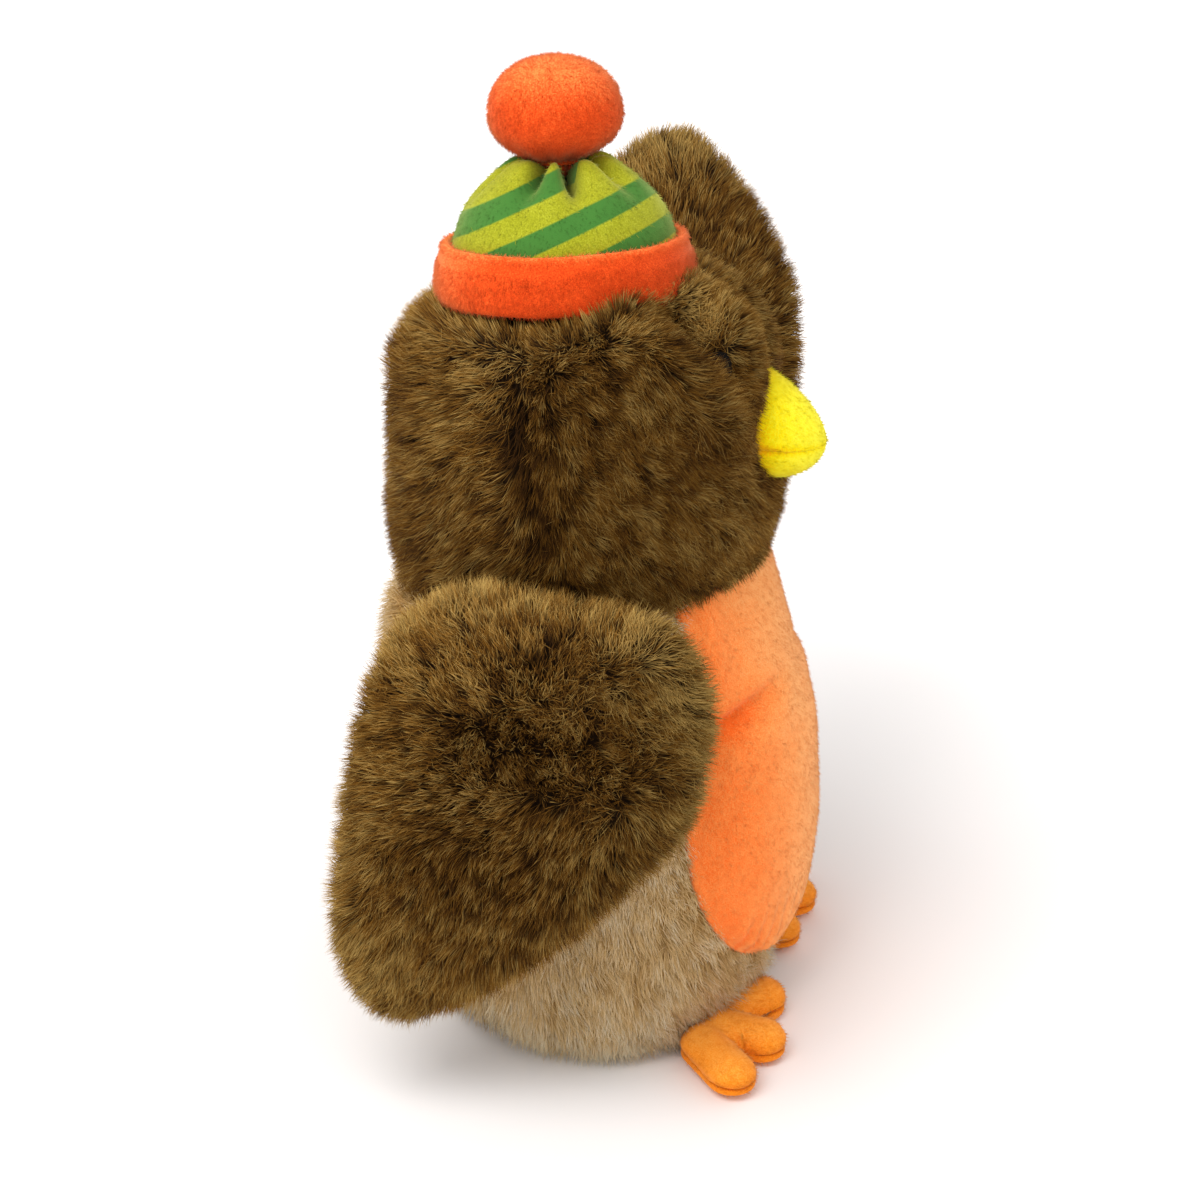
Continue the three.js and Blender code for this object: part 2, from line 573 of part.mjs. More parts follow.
// A roll of fabric follows the hinge, so the root keeps its distance from the shoulder as it turns.
const rootRoll = (grow) => {
  const radius = WING_NOSE + grow;
  const half = WING_ROOT_HALF * 0.7 + grow;
  const ends = [[radius * 0.7, -half - 3], [radius, -half], [radius, half], [radius * 0.7, half + 3]];
  return solidOf(turned(ends, { sides: SMALL_SIDES + 8 }).rotateX(Math.PI / 2));
};
const wingPad = (grow) => solidOf(swell(wingForm, grow).applyMatrix4(standUp).translate(0, 0, -wingMiddle));
const wingAt = (grow) => joined(wingPad(grow), rootRoll(grow));
const wingShell = cut(wingAt(0), wingAt(-WING_WALL));
const wingOuter = wingShell.intersect(below("x", -SEAM_GAP / 2));
const wingInner = wingShell.intersect(above("x", SEAM_GAP / 2));
const wingWad = wingAt(-WING_WALL - SEAM_GAP);
const shoulder = BODY_HALF_WIDTH * shareAt(bodyForm, NECK_HEIGHT - BODY_WIDEST) * Math.cos(Math.PI / SIDES);
const besideBody = shoulder + Math.sqrt((WING_NOSE + SEAM_GAP) ** 2 - WING_RISE ** 2);
const wingHinge = Math.max(besideBody, HEAD_HALF_WIDTH + WING_NOSE + SEAM_GAP);
const wingFrame = (name, raise, shift = 0) =>
  frame(name, [-wingHinge, shift, NECK_HEIGHT + WING_RISE], [WING_HINGE_TILT, raise, 0]);

// The hanging wing swings out until it just lies against the body.
function hangingRaise() {
  const body = cut(bodyAt(SEAM_GAP), aboveNeck);
  for (let raise = 0; raise < Math.PI / 2; raise += WING_STEP) {
    const hung = wingPad(0).transform(wingFrame("hung", raise).matrix.elements);
    if (hung.intersect(body).isEmpty()) return raise;
  }
  throw new Error("the wing has no room to hang");
}

// Feet: toes fan out from the root, and the body they sit under is cut from them at every lift
const footHinge = [FOOT_SPREAD, -FOOT_FORWARD, FOOT_HEIGHT / 2];
function ball(halfWidth, halfLength, grow) {
  return swell(
    {
      outline: roundOutline(halfWidth, halfLength, 2, SMALL_SIDES),
      rise: FOOT_HEIGHT / 2,
      drop: FOOT_HEIGHT / 2,
      roundAbove: 2.3,
      levels: 3,
    },
    grow,
  );
}
const bodyRound = swell(bodyForm, SEAM_GAP).translate(0, 0, BODY_WIDEST);
const bodyOverFoot = [0, 1 / 3, 2 / 3, 1].map((share) => {
  const seen = bodyRound.clone().translate(...footHinge.map((v) => -v));
  return solidOf(seen.rotateX(FOOT_LIFT * share));
});
const sole = below("z", -FOOT_HEIGHT / 2 + FOOT_FLAT);
function footAt(grow) {
  const toes = [-1, 0, 1].map((side) => {
    const toe = ball(TOE_HALF_WIDTH, TOE_HALF_LENGTH, grow).translate(0, TOE_HALF_LENGTH - TOE_REACH, 0);
    return solidOf(toe.rotateZ(FOOT_TURN + side * TOE_SPREAD));
  });
  const instep = solidOf(ball(INSTEP_HALF_WIDTH, INSTEP_HALF_LENGTH, grow).translate(0, -INSTEP_HALF_LENGTH, 0));
  return joined(instep, ...toes);
}
const footShell = cut(footAt(0), footAt(-PLUSH_WALL), sole, ...bodyOverFoot);
const footSeam = FOOT_SEAM - FOOT_HEIGHT / 2;
const footUpper = footShell.intersect(above("z", footSeam + SEAM_GAP / 2));
const footSole = footShell.intersect(below("z", footSeam - SEAM_GAP / 2));
const footWad = cut(footAt(-PLUSH_WALL - SEAM_GAP), sole, ...bodyOverFoot);

// One of each for either side, the right side being the mirror image of the left
for (const [side, mirror, raise, shift] of [
  ["left", 1, LEFT_RAISE, LEFT_WING_SHIFT],
  ["right", -1, hangingRaise(), 0],
]) {
  const half = frame(side, [0, 0, 0], [0, 0, 0]);
  half.scale.x = -mirror;
  const wing = wingFrame(`${side}_wing`, raise, shift);
  wing.add(piece(`${side}_wing_outer`, wingOuter, BROWN_FUR));
  wing.add(piece(`${side}_wing_inner`, wingInner, BROWN_FUR));
  wing.add(piece(`${side}_wing_stuffing`, wingWad, FIBRE_FILL));
  half.add(wing);
  const footHalf = frame(`${side}_foot_side`, [0, 0, 0], [0, 0, 0]);
  footHalf.scale.x = -1;
  const foot = frame(`${side}_foot`, footHinge, [0, 0, 0]);
  foot.add(piece(`${side}_foot_upper`, footUpper, AMBER_PLUSH));
  foot.add(piece(`${side}_foot_sole`, footSole, AMBER_PLUSH));
  foot.add(piece(`${side}_foot_stuffing`, footWad, FIBRE_FILL));
  footHalf.add(foot);
  half.add(footHalf);
  toy.add(half);
}

export default toy;
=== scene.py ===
# %% [markdown]
# # A stuffed robin in a bobble hat
#
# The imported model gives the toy's solids, its bodies and its joints. This lesson sews the visible
# toy around them: stuffed forms, long fur made of real strands, short plush pile, stripes and stitches.
# Every shape is a formula worked out with numpy over whole arrays, in millimetres, and the last step
# before a mesh is made turns it into Blender's metres.

# %% Load the frame
import json

import bmesh
import bpy
import numpy as np
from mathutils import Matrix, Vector


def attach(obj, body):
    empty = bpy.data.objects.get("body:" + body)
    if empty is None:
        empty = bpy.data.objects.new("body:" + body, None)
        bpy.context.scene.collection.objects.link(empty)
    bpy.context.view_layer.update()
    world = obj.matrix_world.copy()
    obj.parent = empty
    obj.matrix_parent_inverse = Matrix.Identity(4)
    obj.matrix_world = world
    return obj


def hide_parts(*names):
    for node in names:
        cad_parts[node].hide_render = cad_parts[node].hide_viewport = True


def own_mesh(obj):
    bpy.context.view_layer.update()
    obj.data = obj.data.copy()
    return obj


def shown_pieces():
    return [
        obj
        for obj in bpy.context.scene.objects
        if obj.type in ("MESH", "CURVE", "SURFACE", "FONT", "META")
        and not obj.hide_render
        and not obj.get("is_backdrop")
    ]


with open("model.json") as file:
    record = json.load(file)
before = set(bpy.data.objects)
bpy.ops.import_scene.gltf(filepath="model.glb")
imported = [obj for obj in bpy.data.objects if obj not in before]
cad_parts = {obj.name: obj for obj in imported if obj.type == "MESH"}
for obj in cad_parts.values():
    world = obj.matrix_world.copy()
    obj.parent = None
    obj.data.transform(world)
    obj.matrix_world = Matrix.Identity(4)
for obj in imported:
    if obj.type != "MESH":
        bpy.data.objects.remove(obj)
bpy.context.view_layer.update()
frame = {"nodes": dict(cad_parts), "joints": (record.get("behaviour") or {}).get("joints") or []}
scene = bpy.context.scene
MM = 0.001
SIDES = {"left": 1, "right": -1}  # the toy's left is on the side of +X
hinge = {j["name"]: np.array(j["pos_m"]) / MM for j in frame["joints"] if "pos_m" in j}


def add_object(name, data):
    """An object around its data, linked to the scene."""
    made = bpy.data.objects.new(name, data)
    scene.collection.objects.link(made)
    return made


def aim(made, place, way):
    """Puts a camera or a lamp at a place and makes it look along a way."""
    made.location = place
    made.rotation_mode = "QUATERNION"
    made.rotation_quaternion = way.to_track_quat("-Z", "Y")


# %% [markdown]
# ## Camera
#
# The toy is seen from its right side, a little from the front and from above. The Standard view shows
# a colour as it is written, without a film's curve.

# %% Camera
CAMERA_AZIMUTH = np.radians(-78.5)
CAMERA_ELEVATION = np.radians(25)
CAMERA_DISTANCE = 800
CAMERA_ANGLE = np.radians(31)
CAMERA_AIM = Vector((0, 0, 158))

toward_camera = Vector((
    np.sin(CAMERA_AZIMUTH) * np.cos(CAMERA_ELEVATION),
    -np.cos(CAMERA_AZIMUTH) * np.cos(CAMERA_ELEVATION),
    np.sin(CAMERA_ELEVATION),
))
camera = add_object("camera", bpy.data.cameras.new("camera"))
camera.data.sensor_fit = "HORIZONTAL"
camera.data.angle = CAMERA_ANGLE
aim(camera, (CAMERA_AIM + toward_camera * CAMERA_DISTANCE) * MM, -toward_camera)
scene.camera = camera
scene.view_settings.view_transform = "Standard"
print("camera at", [round(c, 3) for c in camera.location])

# %% [markdown]
# ## Shader helpers
#
# A material is a tree of nodes, and one function adds a node of any kind. Colours are written as the
# hex codes of a paint program and turned into the linear light that Blender reckons with.


# %% Shader helpers
def linear(hex_colour):
    """An sRGB hex colour as linear RGBA: each channel through the sRGB curve."""
    channels = np.array([int(hex_colour[k:k + 2], 16) for k in (1, 3, 5)]) / 255
    curved = np.where(channels <= 0.04045, channels / 12.92, ((channels + 0.055) / 1.055) ** 2.4)
    return (*curved, 1.0)


def node(tree, kind, inputs=None, stops=None, **settings):
    """Adds a shader node: settings are its properties, stops are the places and colours of a colour ramp,
    and inputs are values, outputs or whole nodes (their first live output) by socket name or number."""
    made = tree.nodes.new("ShaderNode" + kind)
    for name, value in settings.items():
        setattr(made, name, value)
    for name, value in (inputs or {}).items():
        if isinstance(value, bpy.types.Node):
            value = next(socket for socket in value.outputs if socket.enabled)
        if isinstance(value, bpy.types.NodeSocket):
            tree.links.new(value, made.inputs[name])
        else:
            made.inputs[name].default_value = value
    if stops:
        ramp = made.color_ramp
        while len(ramp.elements) < len(stops):
            ramp.elements.new(1.0)
        for element, (place, colour) in zip(ramp.elements, stops):
            element.position = place
            element.color = linear(colour)
    return made


def new_material(name):
    """An empty node material and its tree."""
    made = bpy.data.materials.new(name)
    made.use_nodes = True
    made.node_tree.nodes.clear()
    return made, made.node_tree


# %% [markdown]
# ## Light and floor
#
# A white studio dome does most of the lighting, so a colour renders about as it is written, and one
# large soft lamp gives the forms a lit side. The floor is white card that keeps the shadow.

# %% Light and floor
DOME_STRENGTH = 0.9
KEY_WATTS = 12.0
KEY_SIZE = 0.8
KEY_PLACE = Vector((-0.6, 0.35, 1.25))
FLOOR_SIDE = 30.0
BURN_START = 0.1  # metres from the toy where the card begins to be overexposed
BURN_FULL = 0.6  # and where it is overexposed in full
BURN = 0.42


def looked_at(tree):
    """1 where the camera looks, straight or in a gloss, and 0 for light on its way between surfaces."""
    rays = node(tree, "LightPath")
    kinds = {0: rays.outputs["Is Camera Ray"], 1: rays.outputs["Is Glossy Ray"]}
    return node(tree, "Math", kinds, operation="MAXIMUM")


scene.world = bpy.data.worlds.new("studio")
scene.world.use_nodes = True
tree = scene.world.node_tree
tree.nodes.clear()
strength = node(tree, "MapRange", {"Value": looked_at(tree), "To Min": DOME_STRENGTH, "To Max": 1.0})
dome = node(tree, "Background", {"Color": linear("#ffffff"), "Strength": strength})
node(tree, "OutputWorld", {"Surface": dome})

key = add_object("key_light", bpy.data.lights.new("key_light", "AREA"))
key.data.energy = KEY_WATTS
key.data.size = KEY_SIZE
aim(key, KEY_PLACE, CAMERA_AIM * MM - KEY_PLACE)

# Matt coated card. The camera sees it as an overexposed white that still keeps the toy's shadow; to
# everything else it is plain card that throws back the light it gets.
card, tree = new_material("white_card")
matt = node(tree, "BsdfDiffuse", {"Color": linear("#fbfaf9")})
shade = node(tree, "BsdfDiffuse", {"Color": linear("#f2eeec")})
place = node(tree, "TexCoord")
away = node(tree, "VectorMath", {0: place.outputs["Object"]}, operation="LENGTH")
burn = node(tree, "MapRange", {"Value": away, "From Min": BURN_START, "From Max": BURN_FULL, "To Max": BURN})
glow = node(tree, "Emission", {"Color": linear("#ffffff"), "Strength": burn})
lit = node(tree, "AddShader", {0: shade, 1: glow})
both = node(tree, "MixShader", {0: looked_at(tree), 1: matt, 2: lit})
node(tree, "OutputMaterial", {"Surface": both})
half = FLOOR_SIDE / 2
corners = [(-half, -half, 0), (half, -half, 0), (half, half, 0), (-half, half, 0)]
floor_mesh = bpy.data.meshes.new("floor")
floor_mesh.from_pydata(corners, [], [(0, 1, 2, 3)])
floor_mesh.materials.append(card)
floor = add_object("floor", floor_mesh)
floor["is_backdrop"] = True
print("dome", DOME_STRENGTH, "and a key lamp of", KEY_WATTS, "W")

# %% [markdown]
# ## Fabrics
#
# Long faux fur and short plush are both pile: strands that are dark at the root, where no light gets
# in, and pale at the tip. So a strand's colour is a ramp along it, and each strand mixes a dark and
# a light version of that ramp. Both numbers are in the strand's own map: across the map is its
# shade, and up the map is the way from root to tip. The knitted backing under the pile reads Object
# coordinates, with its grain in real millimetres.

# %% Pile and backing materials
PILE_MAP = "OFBake"  # the strands' map has the name that an export keeps
CLOUD = 9.0  # the size in mm of the clouds of tone in a backing
LONG_PILE = {"roughness": 0.8, "sheen": 0.0}
LONG_BACKING = {"grain": 0.9, "relief": 0.35, "sheen": 0.0}


def cloth(tree, inputs, sheen, spread, rim):
    """Ends a cloth's tree: hardly any gloss, and the sheen of fine fibres in a rim colour."""
    fibres = {"Specular IOR Level": 0.1, "Sheen Weight": sheen, "Sheen Roughness": spread}
    shader = node(tree, "BsdfPrincipled", {**inputs, **fibres, "Sheen Tint": linear(rim)})
    node(tree, "OutputMaterial", {"Surface": shader})


def pile_material(name, root, tip, depth=1.0, roughness=0.9, sheen=0.5, rim="#ffffff"):
    """Strands: the root colours and the tip colours are ramps across the map, and the way from root to
    tip, raised to the depth, mixes them."""
    made, tree = new_material(name)
    uv = node(tree, "UVMap", uv_map=PILE_MAP)
    part = node(tree, "SeparateXYZ", {0: uv})
    low = node(tree, "ValToRGB", {0: part.outputs["X"]}, stops=root)
    high = node(tree, "ValToRGB", {0: part.outputs["X"]}, stops=tip)
    rise = node(tree, "Math", {0: part.outputs["Y"], 1: depth}, operation="POWER")
    colour = node(tree, "Mix", {"Factor": rise, 6: low, 7: high}, data_type="RGBA")
    cloth(tree, {"Base Color": colour, "Roughness": roughness}, sheen, 0.5, rim)
    return made


def backing_material(name, deep, plain, pale, grain=0.5, relief=0.25, sheen=0.6, rim="#ffffff"):
    """Knitted backing with its shortest pile: fine noise of the grain in mm, over clouds of a larger size.
    A piece can carry a nap attribute of painted light and shade: painted shade under 0, painted light over
    0."""
    made, tree = new_material(name)
    place = node(tree, "TexCoord").outputs["Object"]
    weave = {"Vector": place, "Scale": 1 / (grain * MM), "Detail": 3.0, "Roughness": 0.6}
    fine = node(tree, "TexNoise", weave).outputs["Fac"]
    broad = node(tree, "TexNoise", {"Vector": place, "Scale": 1 / (CLOUD * MM), "Detail": 2.0})
    both = node(tree, "Mix", {"Factor": 0.2, 2: fine, 3: broad.outputs["Fac"]})
    # The nap attribute is painted light and shade, added to the random tone.
    nap = node(tree, "Attribute", attribute_name="nap")
    tone_with_painted_light = node(tree, "Math", {0: both, 1: nap.outputs["Fac"]}, operation="ADD")
    colour = node(tree, "ValToRGB", {0: tone_with_painted_light}, stops=[(0.25, deep), (0.5, plain), (0.75, pale)])
    rough = node(tree, "MapRange", {"Value": fine, "To Min": 0.8, "To Max": 1.0})
    bump = node(tree, "Bump", {"Height": fine, "Strength": relief, "Distance": 0.5 * MM})
    cloth(tree, {"Base Color": colour, "Roughness": rough, "Normal": bump}, sheen, 0.4, rim)
    return made


# %% [markdown]
# ## Dyes
#
# Every cloth is one of those two recipes with its own colours, from the deepest to the palest.

# %% Dyes
# Acrylic faux fur, sheared and brushed: painted near-black at the root, as the shade between the strands,
# and warm brown on top. The beige is the same cloth in another dye, a little longer and softer.
fur_pile = {
    "brown_fur": pile_material(
        "brown_faux_fur", [(0.0, "#120a02"), (1.0, "#2c1a05")],
        [(0.0, "#50300c"), (0.5, "#a67126"), (1.0, "#e8bd6a")], depth=1.8, **LONG_PILE),
    "beige_fur": pile_material(
        "beige_faux_fur", [(0.0, "#8f6d3c"), (1.0, "#c69c5e")],
        [(0.0, "#cfa367"), (0.5, "#ffda9e"), (1.0, "#fff6da")], depth=1.6, **LONG_PILE),
}
# The backings have the colours of the strands' roots: painted shade under the fur.
brown_backing = backing_material("brown_fur_backing", "#120903", "#1d1105", "#2c1907", **LONG_BACKING)
beige_backing = backing_material("beige_fur_backing", "#8f6d3c", "#906b3a", "#c69c5e", **LONG_BACKING)
# Short polyester plush: a dense pile of about a millimetre. Its strands are painted deep at the root, as
# the shade in the pile, and its sheen makes it pale where it is seen from the side.
PLUSH_DYES = {
    "orange_plush": ("#fa681e", "#ff9248", "#ffae68", "#ffcf9c"),
    "red_orange_plush": ("#c23408", "#ec521a", "#ff8844", "#ffb880"),
    "yellow_plush": ("#ffb800", "#ffe600", "#fdf238", "#fffa70"),
    "amber_plush": ("#d06206", "#f88d1e", "#ffaa46", "#ffc888"),
}
plush_pile = {}
plush_backing = {}
for dye, (deep, plain, pale, rim) in PLUSH_DYES.items():
    plush_pile[dye] = pile_material(dye + "_pile", [(0.0, deep), (0.5, plain), (1.0, plain)],
                                    [(0.0, deep), (0.5, plain), (1.0, pale)], rim=rim)
    plush_backing[dye] = backing_material(dye, deep, plain, pale, rim=rim)
# The crown's cloth is printed: the lower half of the map's width is lime pile and the upper half green.
LIME = ("#7a7c14", "#9c9e1e", "#babc3c", "#dce088")
GREEN = ("#2e5e20", "#417630", "#5c9046")
striped_pile = pile_material(
    "striped_plush_pile", [(0.0, LIME[0]), (0.48, LIME[1]), (0.52, GREEN[0]), (1.0, GREEN[1])],
    [(0.0, LIME[1]), (0.48, LIME[2]), (0.52, GREEN[1]), (1.0, GREEN[2])], rim=LIME[3])
print(len(bpy.data.materials), "materials so far")

# %% [markdown]
# ## From formula to mesh
#
# A stuffed form is a grid of points: rows go from bottom to top, columns go round. One function
# turns any such grid into a closed mesh, with a single point where a row shrinks to nothing.


# %% Mesh helpers
def grid_mesh(name, points, weld=False):
    """A mesh over a grid (rows, columns, xyz) in mm that closes on itself round the columns.
    Its first and last rows are drawn together to one point each, unless the mesh is welded instead."""
    rows, columns = points.shape[:2]
    spots = points.reshape(-1, 3)
    index = np.arange(rows * columns).reshape(rows, columns)
    if not weld:
        spots = np.vstack([points[0].mean(axis=0), spots[columns:-columns], points[-1].mean(axis=0)])
        index = np.clip(index - columns + 1, 0, len(spots) - 1)
    after = np.roll(index, -1, axis=1)
    quads = np.stack([index[:-1], after[:-1], after[1:], index[1:]], axis=-1)
    if weld:
        faces = quads.reshape(-1, 4).tolist()
    else:
        faces = quads[1:-1].reshape(-1, 4).tolist()
        faces += quads[0][:, [0, 2, 3]].tolist() + quads[-1][:, [0, 1, 2]].tolist()
    mesh = bpy.data.meshes.new(name)
    mesh.from_pydata((spots * MM).tolist(), [], faces)
    if weld:
        work = bmesh.new()
        work.from_mesh(mesh)
        bmesh.ops.remove_doubles(work, verts=work.verts, dist=1e-6)
        bmesh.ops.dissolve_degenerate(work, edges=work.edges, dist=1e-7)
        work.to_mesh(mesh)
        work.free()
    return mesh


def piece(mesh, material, body, slot, nodes=()):
    """Makes a mesh a piece of the toy with its material: what it rides on and the CAD nodes it stands
    for, which it hides. Its finish, the slot, is not used."""
    made = add_object(mesh.name, mesh)
    mesh.materials.append(material)
    mesh.polygons.foreach_set("use_smooth", np.ones(len(mesh.polygons), bool))
    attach(made, body)
    if nodes:
        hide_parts(*nodes)
    print(mesh.name, "on", body, "has", len(mesh.polygons), "faces")
    return made


def plush_piece(name, points, dye, body, nodes, weld=False):
    """A plush piece over a grid of points."""
    return piece(grid_mesh(name, points, weld), plush_backing[dye], body, dye, nodes)


def triples(items, key, kind):
    """One property of a mesh's parts, three numbers each, as an array."""
    values = np.empty(len(items) * 3, kind)
    items.foreach_get(key, values)
    return values.reshape(-1, 3)


def mark(made, name, formula):
    """Writes a formula's value at each of a piece's vertices to an attribute that its material reads."""
    values = formula((triples(made.data.vertices, "co", np.float32) / MM).astype(float))
    made.data.attributes.new(name, "FLOAT", "POINT").data.foreach_set("value", values.astype(np.float32))


# %% [markdown]
# ## Curves
#
# These short functions are what the shapes' formulas are made of.


# %% Curves
def circle(count):
    """Angles of a full turn."""
    return np.linspace(0, 2 * np.pi, count, endpoint=False)


def half_turn(count):
    """Angles from straight down to straight up, as rows."""
    return np.linspace(-np.pi / 2, np.pi / 2, count)[:, None]


def turn(x=0.0, y=0.0):
    """A rotation by y about the Y axis and then by x about the X axis, in radians, as a matrix."""
    about_x = np.array([[1, 0, 0], [0, np.cos(x), -np.sin(x)], [0, np.sin(x), np.cos(x)]])
    about_y = np.array([[np.cos(y), 0, np.sin(y)], [0, 1, 0], [-np.sin(y), 0, np.cos(y)]])
    return about_x @ about_y


def norm(vectors):
    """The vectors' lengths."""
    return np.linalg.norm(vectors, axis=-1)


def unit(vectors):
    """Vectors divided by their lengths."""
    return vectors / np.maximum(np.linalg.norm(vectors, axis=-1, keepdims=True), 1e-9)


def xyz(x, y, z):
    """Arrays or numbers put together as points."""
    return np.stack(np.broadcast_arrays(x, y, z), axis=-1)


SIDE_COLUMNS = 96
angles = circle(SIDE_COLUMNS)


def rings(radius, height, around=angles):
    """Rings of points about the Z axis."""
    return xyz(radius * np.cos(around), radius * np.sin(around), height)


def tube(rows):
    """Rows that close on themselves."""
    return np.concatenate([rows, rows[:1]])


def power(value, exponent):
    """A signed power, for superellipses."""
    return np.sign(value) * np.abs(value) ** exponent


def profile(sweep, n):
    """A superellipse's share of its width and of its height, at an angle up from its rim."""
    return np.maximum(np.cos(sweep), 0) ** (2 / n), power(np.sin(sweep), 2 / n)


def step(value, low, high):
    """0 below low, 1 above high, eased between."""
    share = np.clip((value - low) / (high - low), 0, 1)
    return share * share * (3 - 2 * share)


def fade(value, low, high):
    """1 below low, 0 above high, eased between."""
    return 1 - step(value, low, high)


def hump(value, place, width):
    """A bell curve: 1 at a place, and next to nothing two widths away."""
    return np.exp(-((value - place) / width) ** 2)


def blend(first, second, share):
    """From the first vectors to the second, each by its own share."""
    return first * (1 - share)[:, None] + second * share[:, None]


# %% [markdown]
# ## Random fields that repeat
#
# Fur is never even: it drifts in tone, and its strands lean together in tufts. Both come from random
# numbers on a lattice, so the same place always gets the same value.


# %% Drift and tufts
def lattice_random(cells, seed):
    """A number from 0 to 1 for each cell: the fraction of a large sine of its place."""
    mixed = np.sin(cells @ np.array([12.9898, 78.233, 37.719]) + 4.1 * seed) * 43758.5453
    return mixed - np.floor(mixed)


def drift(points, size, seed):
    """Smooth noise from -1 to 1 with blobs of a size in mm: corner values, eased along each axis."""
    flat = points.reshape(-1, 3)
    cell = np.floor(flat / size)
    part = flat / size - cell
    part = part * part * (3 - 2 * part)
    total = np.zeros(len(flat))
    for corner in np.ndindex(2, 2, 2):
        weight = np.prod(np.where(np.array(corner), part, 1 - part), axis=1)
        total += weight * lattice_random(cell + np.array(corner), seed)
    return (2 * total - 1).reshape(points.shape[:-1])


def tuft_centres(points, size, seed):
    """The nearest of the tuft centres, one at a random place in each cell of a lattice."""
    cell = np.floor(points / size)
    best = np.full(len(points), np.inf)
    nearest = points.copy()
    for offset in np.ndindex(3, 3, 3):
        there = cell + np.array(offset) - 1
        spot = np.stack([lattice_random(there, seed + k) for k in range(3)], axis=1)
        centre = (there + spot) * size
        gap = np.sum((centre - points) ** 2, axis=1)
        nearest = np.where((gap < best)[:, None], centre, nearest)
        best = np.minimum(gap, best)
    return nearest


# %% [markdown]
# ## Strands
#
# A strand is a needle: three corners at its root and a point at its tip, closed with four triangles.
# Real fibres are a twentieth of a millimetre thick, too fine to show, so a needle stands for a few of
# them lying together. Its shading normal leans to the skin's, as a dense pile lights up as one soft
# surface.

# %% Roots and needles
NEEDLE_FACES = np.array([(0, 2, 1), (0, 1, 3), (1, 2, 3), (2, 0, 3)])
NEEDLE_MAP = np.array([(-0.012, 0.0), (0.012, 0.0), (0.0, 0.03), (0.0, 1.0)])


def scatter(made, count, keep, seed):
    """Roots spread evenly over a piece: triangles picked by area times keep, then a random place in each."""
    rng = np.random.default_rng(seed)
    mesh = made.data
    mesh.calc_loop_triangles()
    spots = triples(mesh.vertices, "co", np.float32) / MM
    normals = triples(mesh.vertex_normals, "vector", np.float32)
    triangles = triples(mesh.loop_triangles, "vertices", np.int32)
    corners = spots[triangles]
    area = norm(np.cross(corners[:, 1] - corners[:, 0], corners[:, 2] - corners[:, 0]))
    if keep:
        area = area * keep(corners.mean(axis=1))
    pick = triangles[rng.choice(len(triangles), count, p=area / area.sum())]
    first = np.sqrt(rng.random(count))[:, None]
    second = rng.random(count)[:, None]
    share = [1 - first, first * (1 - second), first * second]
    root = sum(s * spots[pick[:, k]] for k, s in enumerate(share))
    normal = unit(sum(s * normals[pick[:, k]] for k, s in enumerate(share)))
    return root, normal, rng


def needles(name, root, tip, radius, shade, skin_normal, softness=0.4):
    """Needles from roots to tips. The map has each needle's shade across and the way along it up."""
    count = len(root)
    axis = unit(tip - root)
    side = unit(np.cross(axis, skin_normal + 0.3 * axis[:, [1, 2, 0]]))
    other = np.cross(axis, side)
    angle = 2 * np.pi * np.arange(3) / 3
    ray = np.cos(angle)[:, None] * side[:, None] + np.sin(angle)[:, None] * other[:, None]
    spots = np.concatenate([root[:, None] + radius[:, None, None] * ray, tip[:, None]], axis=1)
    outward = np.concatenate([ray, axis[:, None]], axis=1)
    normals = unit(softness * skin_normal[:, None] + (1 - softness) * outward)
    loops = (NEEDLE_FACES.ravel() + 4 * np.arange(count)[:, None]).ravel()
    mesh = bpy.data.meshes.new(name)
    mesh.vertices.add(4 * count)
    mesh.vertices.foreach_set("co", (spots * MM).astype(np.float32).ravel())
    mesh.loops.add(len(loops))
    mesh.loops.foreach_set("vertex_index", loops.astype(np.int32))
    mesh.polygons.add(len(loops) // 3)
    mesh.polygons.foreach_set("loop_start", np.arange(0, len(loops), 3, dtype=np.int32))
    own = np.stack([np.clip(shade, 0.013, 0.987), np.zeros(count)], axis=1)[:, None] + NEEDLE_MAP
    layer = mesh.uv_layers.new(name=PILE_MAP)
    layer.uv.foreach_set("vector", own.reshape(-1, 2)[loops].astype(np.float32).ravel())
    mesh.update(calc_edges=True)
    mesh.polygons.foreach_set("use_smooth", np.ones(len(loops) // 3, bool))
    mesh.normals_split_custom_set_from_vertices(normals.reshape(-1, 3).astype(np.float32))
    return mesh


def along_skin(flow, normal):
    """The part of a flow that lies in the surface."""
    return flow - normal * np.sum(flow * normal, axis=1, keepdims=True)


# %% [markdown]
# ## Long fur and short pile
#
# In long fur every lock of strands has a lean of its own and the tips cling together, which is what
# makes it look like fur and not like a brush. Short pile is even, and leans with its nap.

# %% Long fur and short pile
STRAND_RADIUS = 0.25
STRAND_SINK = 1.0  # a long strand starts this far under its backing
LOCK = 9.0  # long strands lean together in locks of about this size
LOCK_LEAN = 0.9  # how far a lock's own way turns its strands
LOCK_LIFT = 20  # degrees between the flattest lock and the steepest
LOCK_DRAW = 0.12  # how far tips are drawn to the middle of their lock
TUFT = 2.6  # tips also cling together in small tufts
TUFT_DRAW = 0.45
FLATTEST = 80  # degrees from upright
FLOOR_GAP = 0.4  # no tip lies lower than this
PLUSH_LENGTH = 1.7
PLUSH_RADIUS = 0.14
PLUSH_LAY = 58  # degrees from upright
PLUSH_SINK = 0.3


